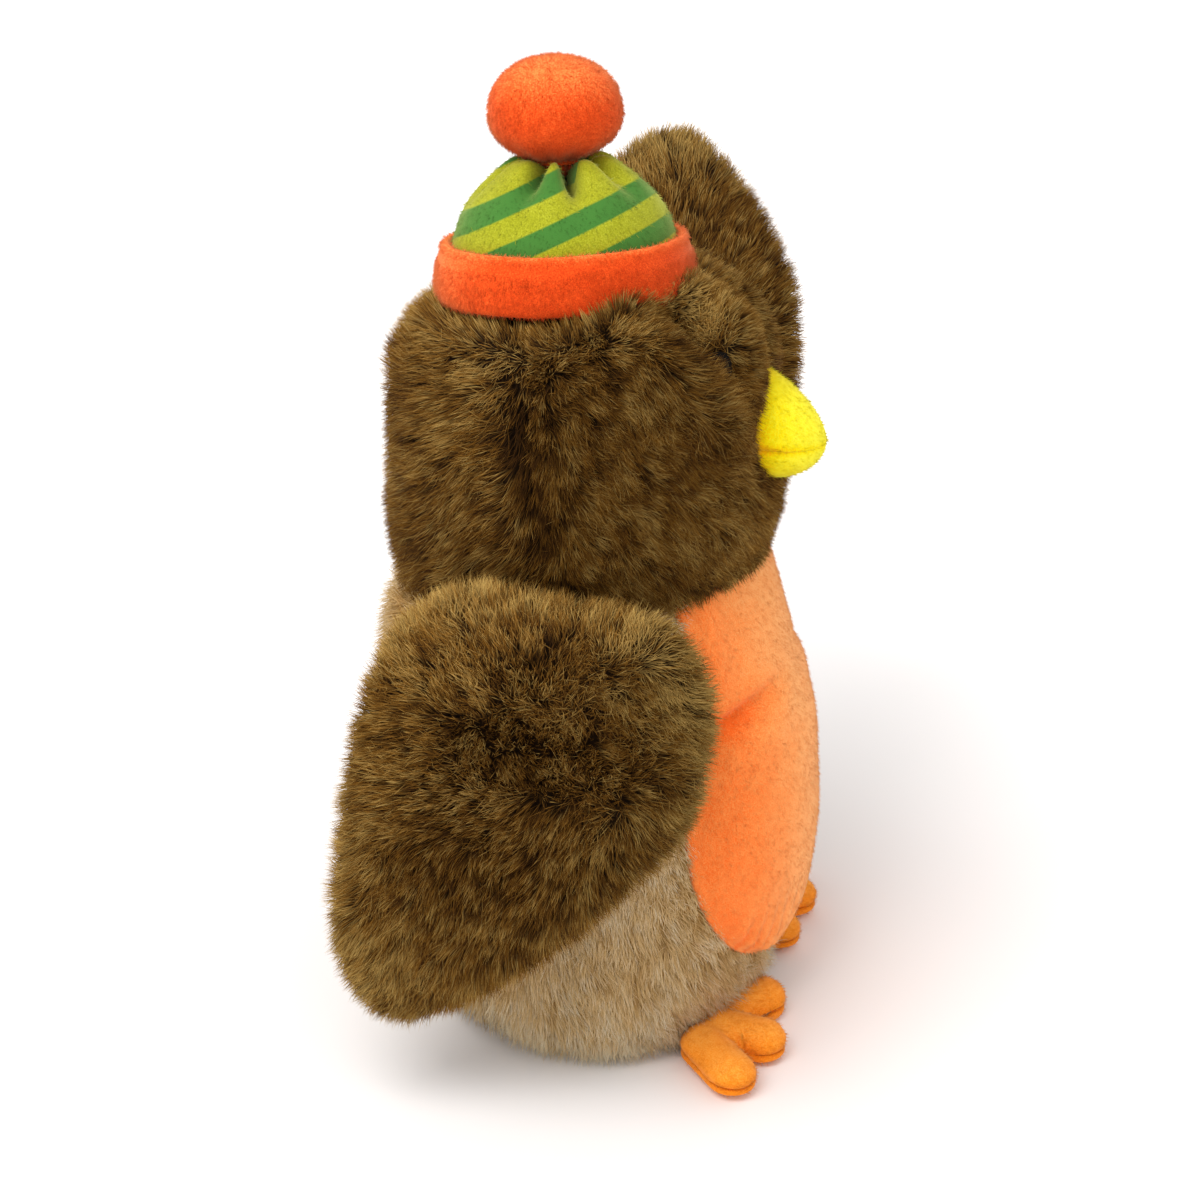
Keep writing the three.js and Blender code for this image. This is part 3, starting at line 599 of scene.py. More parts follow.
def fur(name, pad, count, look, keep, seed, body, slot, solid):
    """Long pile on a padded form, as a piece. look(root) gives each strand's flow, lay in degrees from
    the normal, length and shade. Each lock has a lean of its own, and the tips of a tuft draw together."""
    root, normal, rng = scatter(pad, count, keep, seed)
    flow, lay, length, shade = look(root)
    lock = tuft_centres(root, LOCK, seed)
    tuft = tuft_centres(root, TUFT, seed + 5)
    whim = np.stack([lattice_random(np.round(5 * lock), seed + k) for k in range(5)], axis=1) - 0.5
    lean = unit(along_skin(unit(flow) + LOCK_LEAN * whim[:, :3] + rng.normal(0, 0.3, root.shape), normal))
    lay = np.radians(np.clip(lay + LOCK_LIFT * whim[:, 3] + rng.normal(0, 9, count), 0, FLATTEST))[:, None]
    long = (length * rng.uniform(0.7, 1.1, count))[:, None]
    to_lock = along_skin(lock - root, normal)
    to_tuft = along_skin(tuft - root, normal)
    base = root - STRAND_SINK * normal
    tip = base + long * (np.cos(lay) * normal + np.sin(lay) * lean)
    tip = tip + LOCK_DRAW * to_lock + TUFT_DRAW * to_tuft
    tip[:, 2] = np.maximum(tip[:, 2], FLOOR_GAP)
    edge = norm(to_lock) / LOCK
    # Painted shade: strands near the edge of a lock are darker, as the shade in the gaps between locks.
    tone = shade + 0.14 * drift(root, 18, seed) + 0.24 * whim[:, 4] - 0.4 * np.maximum(edge - 0.3, 0)
    tone = tone + 0.7 * (lattice_random(np.round(5 * tuft), seed) - 0.5) + rng.normal(0, 0.2, count)
    coat = needles(name, base, tip, STRAND_RADIUS * rng.uniform(0.7, 1.3, count), tone, normal)
    piece(coat, fur_pile[slot], body, slot, [solid])


def plush(made, count, nap, keep, seed, tone):
    """Short pile on a piece: straight strands that lean with the nap. tone(root, shade) sets their shade:
    the print on the crown, painted light and shade on the other pieces.
    """
    root, normal, rng = scatter(made, count, keep, seed)
    lean = unit(along_skin(nap + rng.normal(0, 0.5, root.shape), normal))
    angle = np.radians(PLUSH_LAY + rng.normal(0, 14, count))[:, None]
    base = root - PLUSH_SINK * normal
    long = (PLUSH_LENGTH * rng.uniform(0.75, 1.25, count) + PLUSH_SINK)[:, None]
    tip = base + long * (np.cos(angle) * normal + np.sin(angle) * lean)
    shade = 0.5 + 0.09 * drift(root, 3.0, seed) + 0.07 * drift(root, 1.4, seed + 1)
    shade = tone(root, shade + rng.normal(0, 0.08, count))
    thick = PLUSH_RADIUS * rng.uniform(0.7, 1.2, count)
    name = made.name.replace("_plush", "_pile")
    return needles(name, base, tip, thick, shade, normal, softness=0.85)


# %% [markdown]
# ## Body
#
# The body is an egg, blunt below and tapered to the neck, with its front drawn in towards the base.
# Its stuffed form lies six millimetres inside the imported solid, because the pile makes up the rest.
# The neck seam is a tilted plane, so each column of the grid ends at its own height.

# %% Body form
BODY_HALF_WIDTH = 80
BODY_HALF_DEPTH = 81
BODY_WIDEST = 88
BODY_DROP = 92
BODY_RISE = 160
BODY_ROUND_BELOW = 4.2
BODY_ROUND_ABOVE = 2.2
BODY_LEAN = 0.05
BODY_TUCK = 0.2
BODY_HUNCH = 3.5  # fuller behind the shoulders
BODY_SAG = 3.5  # and low at the sides, where the filling settles
NECK = hinge["head_turn"]
NECK_TILT = np.radians(7)
FUR_INSET = 6.0
BASE_LIFT = 1.2
BODY_ROWS = 72


def body_share(height):
    """The share of its widest section that the body has at a height: (1 - |h / reach|^n)^(1/n)."""
    over = np.asarray(height, float) - BODY_WIDEST
    reach = np.where(over < 0, BODY_DROP, BODY_RISE)
    n = np.where(over < 0, BODY_ROUND_BELOW, BODY_ROUND_ABOVE)
    return np.maximum(1 - np.abs(over / reach) ** n, 0) ** (1 / n)


def body_depth(y, height):
    """A place of the widest section moved to a height: the front drawn in below, and all leaning back."""
    down = np.maximum((BODY_WIDEST - height) / BODY_DROP, 0)
    drawn = np.where(y < 0, y * (1 - BODY_TUCK * down ** 2), y)
    return drawn * body_share(height) + BODY_LEAN * (height - BODY_WIDEST)


def body_point(angle, height, grow=0.0):
    """A point of the egg: an ellipse of that height's share."""
    x = (BODY_HALF_WIDTH + grow) * body_share(height) * np.cos(angle)
    return xyz(x, body_depth((BODY_HALF_DEPTH + grow) * np.sin(angle), height), height)


def body_front(x, height, grow):
    """The egg's front surface at a place from the middle and a height."""
    across = np.clip(x / ((BODY_HALF_WIDTH + grow) * np.maximum(body_share(height), 1e-6)), -1, 1)
    return xyz(x, body_depth(-(BODY_HALF_DEPTH + grow) * np.sqrt(1 - across ** 2), height), height)


def neck_height(y):
    """The height of the neck seam's plane at a depth."""
    return NECK[2] - np.tan(NECK_TILT) * (y - NECK[1])


top = np.full(SIDE_COLUMNS, NECK[2])
for _ in range(6):
    top = neck_height(body_point(angles, top, -FUR_INSET)[:, 1])
rise = np.linspace(0, 1, BODY_ROWS)[:, None] ** 1.3
wall_heights = BASE_LIFT + (top - BASE_LIFT) * rise
hunch = BODY_HUNCH * step(np.sin(angles), 0.3, 0.9) * step(wall_heights, 105, 140)
hunch = hunch * (1 - step(rise, 0.9, 1.0) ** 2)
sag = BODY_SAG * np.cos(angles) ** 2 * fade(wall_heights, 12, 48)
walls = body_point(angles, wall_heights, hunch + sag - FUR_INSET)
inward = np.array([0.0, 0.4, 0.75, 0.94])[:, None, None]
base_rows = walls[0].mean(axis=0) + (walls[0] - walls[0].mean(axis=0)) * inward
neck_rows = walls[-1].mean(axis=0) + (walls[-1] - walls[-1].mean(axis=0)) * inward[::-1]
body_mesh = grid_mesh("body_pad", np.concatenate([base_rows, walls, neck_rows]))
body_pad = piece(body_mesh, beige_backing, "torso", "beige_fur",
                 ["body_stuffing_front", "body_stuffing_back"])

# %% [markdown]
# ## Breast
#
# The orange breast is one plush panel let into the front of the body. It is pulled in at its seam and
# swells between. A fold crosses the chest, deep at the sides where the filling gives way, and the
# lower edge is gathered where it was eased into the seam.

# %% Breast panel
BREAST_HALF_WIDTH = 61
BREAST_TOP_HALF_WIDTH = 49
BREAST_TIP = 26
BREAST_WIDEST = 98
BREAST_SWELL = 3.3
BREAST_BACK = 5.6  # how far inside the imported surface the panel's inner face lies
BREAST_ROWS = 60  # below the widest level, and as many above it
BREAST_COLUMNS = 81
PILE_INSET = 0.8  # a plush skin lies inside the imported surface, and its pile reaches it
SEAM_DRAW = 3.0  # how far the seam draws the panel in
FOLD_HEIGHT = 145.5
FOLD_DEPTH = 3.8
FOLD_BULGE = 1.8  # the cloth swells below the fold
FOLD_DROP = 9.0
GATHER_WAVE = 7.0
GATHER_RIDGE = 1.3
RUMPLE = 0.6

# The panel's edge: a Bezier curve from the tip to the widest level, then a straight line to the neck.
t = np.linspace(0, 1, BREAST_ROWS)
s = np.linspace(0, 1, BREAST_ROWS + 1)[1:]
low_x = 3 * (1 - t) ** 2 * t * 0.85 + 3 * (1 - t) * t ** 2 + t ** 3
low_z = ((1 - t) ** 3 + 3 * (1 - t) ** 2 * t) * BREAST_TIP
low_z = low_z + 3 * (1 - t) * t ** 2 * (BREAST_TIP + BREAST_WIDEST) / 2 + t ** 3 * BREAST_WIDEST
high_x = BREAST_HALF_WIDTH + (BREAST_TOP_HALF_WIDTH - BREAST_HALF_WIDTH) * s
edge_widths = np.append(low_x * BREAST_HALF_WIDTH, high_x)
edge_heights = np.append(low_z, BREAST_WIDEST + (NECK[2] + 6 - BREAST_WIDEST) * s)


def breast_gap(points):
    """How far outside the panel's outline a point of the body lies; inside it is less than 0."""
    beside = np.abs(points[:, 0]) - np.interp(points[:, 2], edge_heights, edge_widths, left=0)
    return np.where(points[:, 1] < 0, np.maximum(beside, BREAST_TIP - points[:, 2]), 99.0)


def fold_gap(x, z):
    """How far above the chest's fold a place of the panel lies."""
    return z - (FOLD_HEIGHT - FOLD_DROP * (np.abs(x) / 55) ** 1.2)


def gather_wave(x):
    """The gathers along the lower seam, from -1 in a crease to 1 on a ridge, no two of a width."""
    return np.cos(2 * np.pi * (x / GATHER_WAVE + 0.3 * np.sin(x / 7)))


def breast_painted_light(points):
    """Painted light and shade on the breast's pile: pale down its middle, deep at its sides, in the fold and
    in the creases.
    """
    x, _, z = points.T
    folded = step(np.abs(x), 8, 40) * hump(fold_gap(x, z), 0, 5)
    creased = fade(z, BREAST_TIP + 4, BREAST_TIP + 36) * np.maximum(-gather_wave(x), 0)
    return 0.2 - 0.32 * step(np.abs(x), 8, 60) - 0.2 * folded - 0.28 * creased


across = np.sin(np.linspace(-np.pi / 2, np.pi / 2, BREAST_COLUMNS))
x = edge_widths[:, None] * across
z = np.broadcast_to(edge_heights[:, None], x.shape)
to_seam = np.minimum(edge_widths[:, None] * (1 - np.abs(across)), z - BREAST_TIP)
swell = BREAST_SWELL - (BREAST_SWELL + 2.4) * step(z, 112, 158) - 1.6 * fade(z, 30, 84)
crown = swell * step(to_seam, 0, 16) - SEAM_DRAW * fade(to_seam, 0, 5)
from_fold = fold_gap(x, z)
give = step(np.abs(x), 8, 40) * step(to_seam, 0, 6)
fold = give * (-FOLD_DEPTH * hump(from_fold, 0, 3.4) + FOLD_BULGE * hump(from_fold, -11, 8))
eased = fade(z, BREAST_TIP + 6, BREAST_TIP + 40) * step(to_seam, 0.5, 4)
gathers = GATHER_RIDGE * eased * gather_wave(x)
rumple = RUMPLE * drift(xyz(x, 0 * x, z), 24, 5)
outer = body_front(x, z, crown + fold + gathers + rumple - PILE_INSET)
inner = body_front(x, z, -BREAST_BACK)
outer[[0, -1]] = inner[[0, -1]] = (outer[[0, -1]] + inner[[0, -1]]) / 2
outer[:, [0, -1]] = inner[:, [0, -1]] = (outer[:, [0, -1]] + inner[:, [0, -1]]) / 2
loop = np.concatenate([outer, inner[:, ::-1]], axis=1)
breast = plush_piece("breast_panel_plush", loop, "orange_plush", "torso", ["breast_panel"],
                     weld=True)

# %% [markdown]
# ## Head
#
# The head is a squarish ball on the neck seam, sewn from a face and a back panel. The seam up each
# side draws the fur in, and the fur there is painted darker as shade: together they make the dark
# line behind the cheek. The eyes are sewn through to each other, so the face dips round them, and
# the fur in the dips above the eyes is painted dark as shade. The brow and cheeks puff out between,
# and the brow is painted paler as light. The hat has a frame of its own, tilted on the head's.

# %% Head form
HEAD_HALF_WIDTH = 68
HEAD_HALF_DEPTH = 69
HEAD_WIDEST = 42
HEAD_RISE = 64
HEAD_DROP = 72
HEAD_ROUND = 4.2
HEAD_SQUARE = 2.2
HEAD_LEAN = -0.05
SIDE_SEAM = 4
SEAM_PULL = 3.0
EYE_SPREAD = 34
EYE_HEIGHT = 78.5
EYE_DENT = 14.0
EYE_PUFF = 4.0
CHIN_PUFF = 3.8
HEAD_ROWS = 90
BEAK_HALF_WIDTH = 23
BEAK_HALF_HEIGHT = 21.5
BEAK_HEIGHT = 50
HAT_PLACE = np.array([0, 0.8, 98.5])
HAT_TILT = np.radians(3.6)
HAT_ROLL = np.radians(5)
VALLEY_LEAN = (0.9, 0.72, 1)  # a valley runs in and back from its eye
VALLEY_RISE = (0, 0, 20)
head_turned = turn(x=-NECK_TILT)
hat_turned = turn(x=HAT_TILT, y=HAT_ROLL)


def from_head(points):
    """Points of the head's own frame, which stands on the neck seam, in the toy's frame."""
    return points @ head_turned.T + NECK


def to_head(points):
    """The other way."""
    return (points - NECK) @ head_turned


def from_hat(points):
    """Points of the hat's frame in the toy's frame."""
    return from_head(points @ hat_turned.T + HAT_PLACE)


def to_hat(points):
    """The other way."""
    return (to_head(points) - HAT_PLACE) @ hat_turned


def face_depth(x, z):
    """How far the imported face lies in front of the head's middle."""
    over = np.asarray(z, float) - HEAD_WIDEST
    reach = np.where(over < 0, HEAD_DROP, HEAD_RISE)
    share = np.maximum(1 - np.abs(over / reach) ** HEAD_ROUND, 0) ** (1 / HEAD_ROUND)
    round_off = (1 - (np.abs(x) / (HEAD_HALF_WIDTH * share)) ** HEAD_SQUARE) ** (1 / HEAD_SQUARE)
    return HEAD_HALF_DEPTH * share * round_off - HEAD_LEAN * (z - HEAD_WIDEST)


eye_places = {side: np.array([sign * EYE_SPREAD, -face_depth(EYE_SPREAD, EYE_HEIGHT), EYE_HEIGHT])
              for side, sign in SIDES.items()}
valley_tops = {side: place * VALLEY_LEAN + VALLEY_RISE for side, place in eye_places.items()}


def eye_gap(points):
    """The distance to the nearer eye, for points of the head's frame."""
    return np.min([norm(points - place) for place in eye_places.values()], axis=0)


def from_valley(points):
    """The way to each point from the line that runs from the eye on its side up to the hat, where the
    face is drawn in."""
    ways = []
    for side, low in eye_places.items():
        line = valley_tops[side] - low
        share = np.clip((points - low) @ line / (line @ line), 0, 1)
        ways.append(points - low - share[..., None] * line)
    left, right = ways
    return np.where(points[..., :1] > 0, left, right)


def beak_ring(points):
    """How far out from the beak's middle a point of the face lies, where 1 is on the beak's edge."""
    ring = np.hypot(points[:, 0] / BEAK_HALF_WIDTH, (points[:, 2] - BEAK_HEIGHT) / BEAK_HALF_HEIGHT)
    return np.where(points[:, 1] < -30, ring, 9.0)


sweep = half_turn(HEAD_ROWS)
shrink, bulge = profile(sweep, HEAD_ROUND)
levels = HEAD_WIDEST + bulge * (np.where(sweep < 0, HEAD_DROP, HEAD_RISE) - FUR_INSET)
ring_x = (HEAD_HALF_WIDTH - FUR_INSET) * power(np.cos(angles), 2 / HEAD_SQUARE) * shrink
ring_y = (HEAD_HALF_DEPTH - FUR_INSET) * power(np.sin(angles), 2 / HEAD_SQUARE) * shrink
ball = xyz(ring_x, ring_y + HEAD_LEAN * (levels - HEAD_WIDEST), np.maximum(levels, 0.5))
_, y, z = np.moveaxis(ball, -1, 0)
gap = norm(from_valley(ball))
pulled = SEAM_PULL * hump(y, SIDE_SEAM, 4.0) * step(z, 8, 24)
pulled = pulled + EYE_DENT * hump(gap, 0, 8) - EYE_PUFF * hump(gap, 21, 8)
pulled = pulled - step(y, 25, 58) * (2.0 + 4.2 * fade(z, 25, 60) + 4.0 * step(z, 86, 101))
pulled = pulled - CHIN_PUFF * step(-y, 30, 55) * hump(z, 28, 11)
pulled = pulled - 1.2 * drift(ball, 30, 3) * step(z, 2, 20)
ball = ball - unit(ball - (0, 0, HEAD_WIDEST)) * pulled[..., None]
head_pad = piece(grid_mesh("head_pad", from_head(ball)), brown_backing, "head", "brown_fur",
                 ["head_stuffing"])

# %% [markdown]
# ## Wings
#
# A wing is a flat pillow with its seam round the rim, sewn to the shoulder along its straight upper
# edge. Its outline is a smooth closed curve through a few points, and it swells more on the outer
# side than on the side that lies against the body.

# %% Wing forms
WING_ROOT_HALF = 36
WING_FRONT = 58
WING_BACK = 55
WING_LENGTH = 150
WING_TIP_SHIFT = 18.5
WING_OUT_THICK = 14
WING_IN_THICK = 8
WING_ROUND = 3.2
WING_NOSE = 10
WING_MIDDLE = 0.43 * WING_LENGTH
WING_TILT = np.radians(11.5)
WING_RAISE = {"left": np.radians(131), "right": np.radians(9.2)}
WING_INSET = {"left": 2.5, "right": 3.2}
WING_ROWS = 56
WING_COLUMNS = 110
WING_KNOTS = np.array([
    (-WING_FRONT * 0.94, -0.07 * WING_LENGTH),
    (-WING_FRONT, -0.34 * WING_LENGTH),
    (-WING_FRONT * 0.46, -0.68 * WING_LENGTH),
    (WING_TIP_SHIFT, -WING_LENGTH),
    (WING_BACK * 0.82, -0.88 * WING_LENGTH),
    (WING_BACK * 0.97, -0.52 * WING_LENGTH),
    (WING_BACK, -0.13 * WING_LENGTH),
    (WING_ROOT_HALF, WING_NOSE),
    (0, WING_NOSE),
    (-WING_ROOT_HALF, WING_NOSE),
])
# Each knot's share of its way from the wing's middle. Where the filling does not reach into a corner
# the pillow is slacker than its cut outline, and where it crowds the pillow is fuller.
WING_FULLNESS = {
    "left": (0.76, 0.84, 1.14, 1.06, 1.06, 1.0, 1.0, 1.0, 1.0, 0.78),
    "right": (1.03, 1.0, 1.06, 1.0, 1.04, 1.07, 1.0, 0.97, 1.04, 1.06),
}


def closed_curve(knots, count):
    """A closed Catmull-Rom curve through the knots, as evenly spaced points."""
    before, here, after, later = (np.roll(knots, k, axis=0)[:, None] for k in (1, 0, -1, -2))
    t = np.linspace(0, 1, 40, endpoint=False)[None, :, None]
    curve = 0.5 * (2 * here + (after - before) * t + (2 * before - 5 * here + 4 * after - later) * t ** 2
                   + (3 * here - before - 3 * after + later) * t ** 3)
    curve = curve.reshape(-1, 2)
    gone = np.append(0, np.cumsum(norm(np.diff(curve, axis=0, append=curve[:1]))))
    even = np.linspace(0, gone[-1], count, endpoint=False)
    return np.stack([np.interp(even, gone, np.append(curve[:, k], curve[0, k])) for k in (0, 1)], axis=1)


def from_wing(side, points):
    """Points of a wing's own frame (thickness, back, up from the hinge) in the toy's frame."""
    placed = points @ turn(x=WING_TILT, y=WING_RAISE[side]).T
    return placed * (-SIDES[side], 1, 1) + hinge[side + "_wing_flap"]


def to_wing(side, points):
    """The other way."""
    own = (points - hinge[side + "_wing_flap"]) * (-SIDES[side], 1, 1)
    return own @ turn(x=WING_TILT, y=WING_RAISE[side])


def wing_pillow(side, inset, seed):
    """Rows from the outer face over the rim to the inner face: the rim shrinks as cos^(2/n) while the
    thickness grows as sin^(2/n), with the soft lumps of its filling."""
    sweep = half_turn(WING_ROWS)[..., None]
    shrink, bulge = profile(sweep, WING_ROUND)
    knots = (WING_KNOTS + (0, WING_MIDDLE)) * np.array(WING_FULLNESS[side])[:, None]
    rim = closed_curve(knots, WING_COLUMNS)
    rim = rim - inset * unit(rim)
    thick = np.where(sweep < 0, WING_OUT_THICK, WING_IN_THICK) - 0.8 * inset
    flat = rim * shrink
    lumps = drift(xyz(0.0, 0.8 * flat[..., 0], 1.5 * flat[..., 1]), 30, seed)
    depth = bulge * (thick + 1.6 * lumps[..., None] * (1 - shrink ** 4))
    return np.concatenate([depth, flat - (0, WING_MIDDLE)], axis=-1)


wing_pads = {}
for side, sign in SIDES.items():
    pillow = from_wing(side, wing_pillow(side, WING_INSET[side], len(side)))
    # The left wing is a mirror image, so its columns run the other way round.
    wing_pads[side] = piece(grid_mesh(side + "_wing_pad", pillow[:, ::-sign]), brown_backing, side + "_wing",
                            "brown_fur", [side + "_wing_stuffing"])

# %% [markdown]
# ## The head's fur
#
# Each panel's fur has its own way to lie. On the head it parts at the side seam and sweeps down to
# the front and the back, and it stands up round the eyes.

# %% Head fur
HEAD_STRAND = 10.0
UNDER_CUFF = 39.0
PAST_CUFF = 60.0
EYE_BARE = 8.5
HEAD_PANELS = {
    "face_right": (46000, "head_face_panel", lambda own: (own[:, 1] < SIDE_SEAM) & (own[:, 0] < 0)),
    "face_left": (30000, "head_face_panel", lambda own: (own[:, 1] < SIDE_SEAM) & (own[:, 0] >= 0)),
    "back": (39000, "head_back_panel", lambda own: own[:, 1] >= SIDE_SEAM),
}


def head_look(root):
    """Flow and lay of the head's fur: parted at the side seam, down from the hat, upright in the
    valleys above the eyes and leaning over each eye from the cheek. Its shade is painted: darker in the
    seam and the valleys, as shade, and paler on the brow and beside the hat's cuff, as light."""
    own = to_head(root)
    x, y, z = own.T
    front = step(-y, 10, 55)
    part = np.tanh((y - SIDE_SEAM) / 7)
    to_eye = eye_gap(own)
    valley_way = from_valley(own)
    to_valley = norm(valley_way)
    eye_way = unit(np.where(own[:, :1] > 0, eye_places["left"], eye_places["right"]) - own)
    in_hat = to_hat(root)
    from_hat_axis = norm(in_hat[:, :2])

    seam = hump(y, SIDE_SEAM, 5.0) * step(z, 10, 30) * fade(z, 70, 92)
    cheek = fade(to_eye, 16, 24) * step(np.abs(x), EYE_SPREAD + 1, EYE_SPREAD + 8)
    hidden = fade(to_valley, 4, 9) * fade(to_eye, 20, 30) * (1 - cheek)
    brow = step(EYE_SPREAD - np.abs(x), 3, 10) * step(z, 62, 76) * front
    opened = fade(to_valley, 8, 15) * step(z, EYE_HEIGHT + 1, EYE_HEIGHT + 8)
    nape = step(y, 32, 58) * step(z, 66, 88)
    by_hat = fade(from_hat_axis, 48, PAST_CUFF) * step(z, 70, 90)
    under_rim = fade(from_hat_axis, 43, 52) * step(z, 70, 90)
    by_beak = fade(beak_ring(own), 0.9, 1.6)
    chin = front * fade(z, 6, 20)

    flow = xyz(0.5 * front * np.sign(x), 0.85 * part, -0.6 + 0.15 * part)
    flow = blend(flow, eye_way, cheek)
    flow = blend(flow, (0, -0.4, -0.6) - eye_way, brow)
    flow = blend(flow, unit(valley_way), opened)
    flow = blend(flow, np.array([0, 0.1, 1]), nape)
    flow = blend(flow, unit(in_hat * (1, 1, 0)), by_hat)
    flow = flow + by_beak[:, None] * unit((own - (0, 0, BEAK_HEIGHT)) * (1, 0, 1))
    lay = (42 - 12 * seam) * (1 - 0.3 * hidden) + 6 * by_hat - 6 * brow
    lay = lay * (1 - 0.8 * under_rim) * (1 - 0.25 * nape)
    length = HEAD_STRAND * (1 - 0.65 * hidden) * (1 + 0.4 * cheek) * (1 - 0.3 * brow) * (1 - 0.12 * by_hat)
    length = length * (1 - 0.4 * by_beak) * (1 + 0.3 * nape) * (1 - 0.3 * chin)
    # Painted shade in the side seam and the valleys, painted light on the brow and beside the cuff.
    shade = 0.48 - 0.45 * seam - 1.0 * hidden + 0.14 * brow + 0.15 * by_hat
    return flow @ head_turned.T, lay, length, shade


def on_head(points):
    """No fur grows where the eyes are, under the hat or in the neck seam."""
    own = to_head(points)
    under_hat = (norm(to_hat(points)[:, :2]) < UNDER_CUFF) & (own[:, 2] > HEAD_WIDEST)
    return (eye_gap(own) > EYE_BARE) & (own[:, 2] > 1.0) & ~under_hat & (beak_ring(own) > 0.8)


for name, (count, solid, chosen) in HEAD_PANELS.items():
    fur(f"head_{name}_fur", head_pad, count, head_look,
        lambda points: on_head(points) & chosen(to_head(points)), len(name), "head", "brown_fur", solid)

# %% [markdown]
# ## The wings' fur
#
# On a wing the fur stands in the middle and lies outward at the rim, stirred by drifting noise. The
# side that the camera sees has the most strands.

# %% Wing fur
WING_STRAND = 10.0
WING_STRANDS = {"right_outer": 49000, "right_inner": 15000, "left_outer": 23000, "left_inner": 38000}


def wing_look(side, root):
    """Flow from the wing's middle to its rim and a little down, painted paler towards the rim as light
    shining through the fibres.
    """
    x, y, z = to_wing(side, root).T
    away = xyz(0 * x, y / WING_BACK, (z + WING_MIDDLE) / (0.5 * WING_LENGTH))
    far = norm(away)
    stir = np.stack([drift(root, 24, 40 + k) for k in range(3)], axis=1)
    flow = unit(away) * step(far, 0.1, 0.9)[:, None] + (0, 0.1, -0.35) + 0.9 * stir
    placed = from_wing(side, flow) - hinge[side + "_wing_flap"]
    lay = 25 + 27 * step(far, 0.4, 1.0) + 10 * drift(root, 15, 50)
    # Painted light: paler towards the rim, where light shines through the fibres.
    shade = 0.46 + 0.16 * step(far, 0.6, 0.9) + 0.32 * step(far, 0.88, 1.12)
    return placed, lay, np.full(len(root), WING_STRAND), shade


for name, count in WING_STRANDS.items():
    side, face = name.split("_")
    sign = 1 if face == "inner" else -1
    fur(f"{side}_wing_{face}_fur", wing_pads[side], count, lambda root: wing_look(side, root),
        lambda points: sign * to_wing(side, points)[:, 0] > 0, len(name) + sign, side + "_wing", "brown_fur",
        f"{side}_wing_{face}")

# %% [markdown]
# ## The body's fur
#
# On the body the fur hangs down and swings out over the base's edge. It stands up at the neck, and it
# is short beside the breast.

# %% Body fur
BODY_STRAND = 10.5
BACK_START = 20  # the depth where the back panel begins
BODY_PANELS = {
    "right": (34000, lambda p: (p[:, 0] < 0) & (p[:, 1] < BACK_START)),
    "left": (24000, lambda p: (p[:, 0] >= 0) & (p[:, 1] < BACK_START)),
    "back": (32000, lambda p: p[:, 1] >= BACK_START),
}


def body_look(root):
    """Flow down and a little forward; the lowest strands swing out, and those at the breast are short. The
    lower strands are painted paler, as the light thrown up from the floor.
    """
    _, y, z = root.T
    low = fade(z, 4, 30)
    collar = step(z - neck_height(y), -12, 0)
    flow = np.broadcast_to((0.0, -0.35, -1.0), root.shape) + 0.9 * low[:, None] * unit(root * (1, 1, 0))
    flow = flow + (0, 0, 1.6) * collar[:, None]
    lay = 50 - 12 * low - 14 * collar
    length = BODY_STRAND * (0.55 + 0.45 * step(breast_gap(root), 0, 14)) * (1 + 0.35 * low)
    # Painted light: paler towards the bottom, for the light thrown up from the floor.
    return flow, lay, length, 0.5 + 0.35 * fade(z, 6, 50)


def on_body(points):
    """Fur grows outside the breast panel, above the base and below the neck seam."""
    below_neck = points[:, 2] < neck_height(points[:, 1]) - 0.5
    return (breast_gap(points) > -2.0) & (points[:, 2] > BASE_LIFT + 0.6) & below_neck


for name, (count, chosen) in BODY_PANELS.items():
    fur(f"body_fur_{name}", body_pad, count, body_look, lambda points: chosen(points) & on_body(points),
        len(name) + 3, "torso", "beige_fur", "body_cover")

# %% [markdown]
# ## Eyes
#
# The eyes are satin-stitched in black thread: a low dome of parallel threads that lie side by side,
# sunk in the fur. The ridges of the threads are part of the mesh.

# %% Embroidered eyes
EYE_RADIUS = 5.4
EYE_THICK = 4
EYE_SINK = 6.5
EYE_ROOT = 9.0  # the dome reaches this far down to the cloth
EYE_ROUND = 2.4
EYE_ROWS = 33
THREAD_PITCH = 0.8
THREAD_RIDGE = 0.18

# Mercerised cotton: deep black, with a soft highlight painted along each thread.
thread, tree = new_material("black_satin_thread")
place = node(tree, "TexCoord")
thread_highlight_inputs = {"Vector": place.outputs["Object"], "Scale": 0.3 / (THREAD_PITCH * MM), "Distortion": 1.5}
thread_highlight = node(tree, "TexWave", thread_highlight_inputs)
tone = node(tree, "ValToRGB", {0: thread_highlight.outputs["Fac"]}, stops=[(0.2, "#040303"), (0.8, "#0e0c0a")])
shader = node(tree, "BsdfPrincipled", {"Base Color": tone, "Roughness": 0.5, "Specular IOR Level": 0.03})
node(tree, "OutputMaterial", {"Surface": shader})

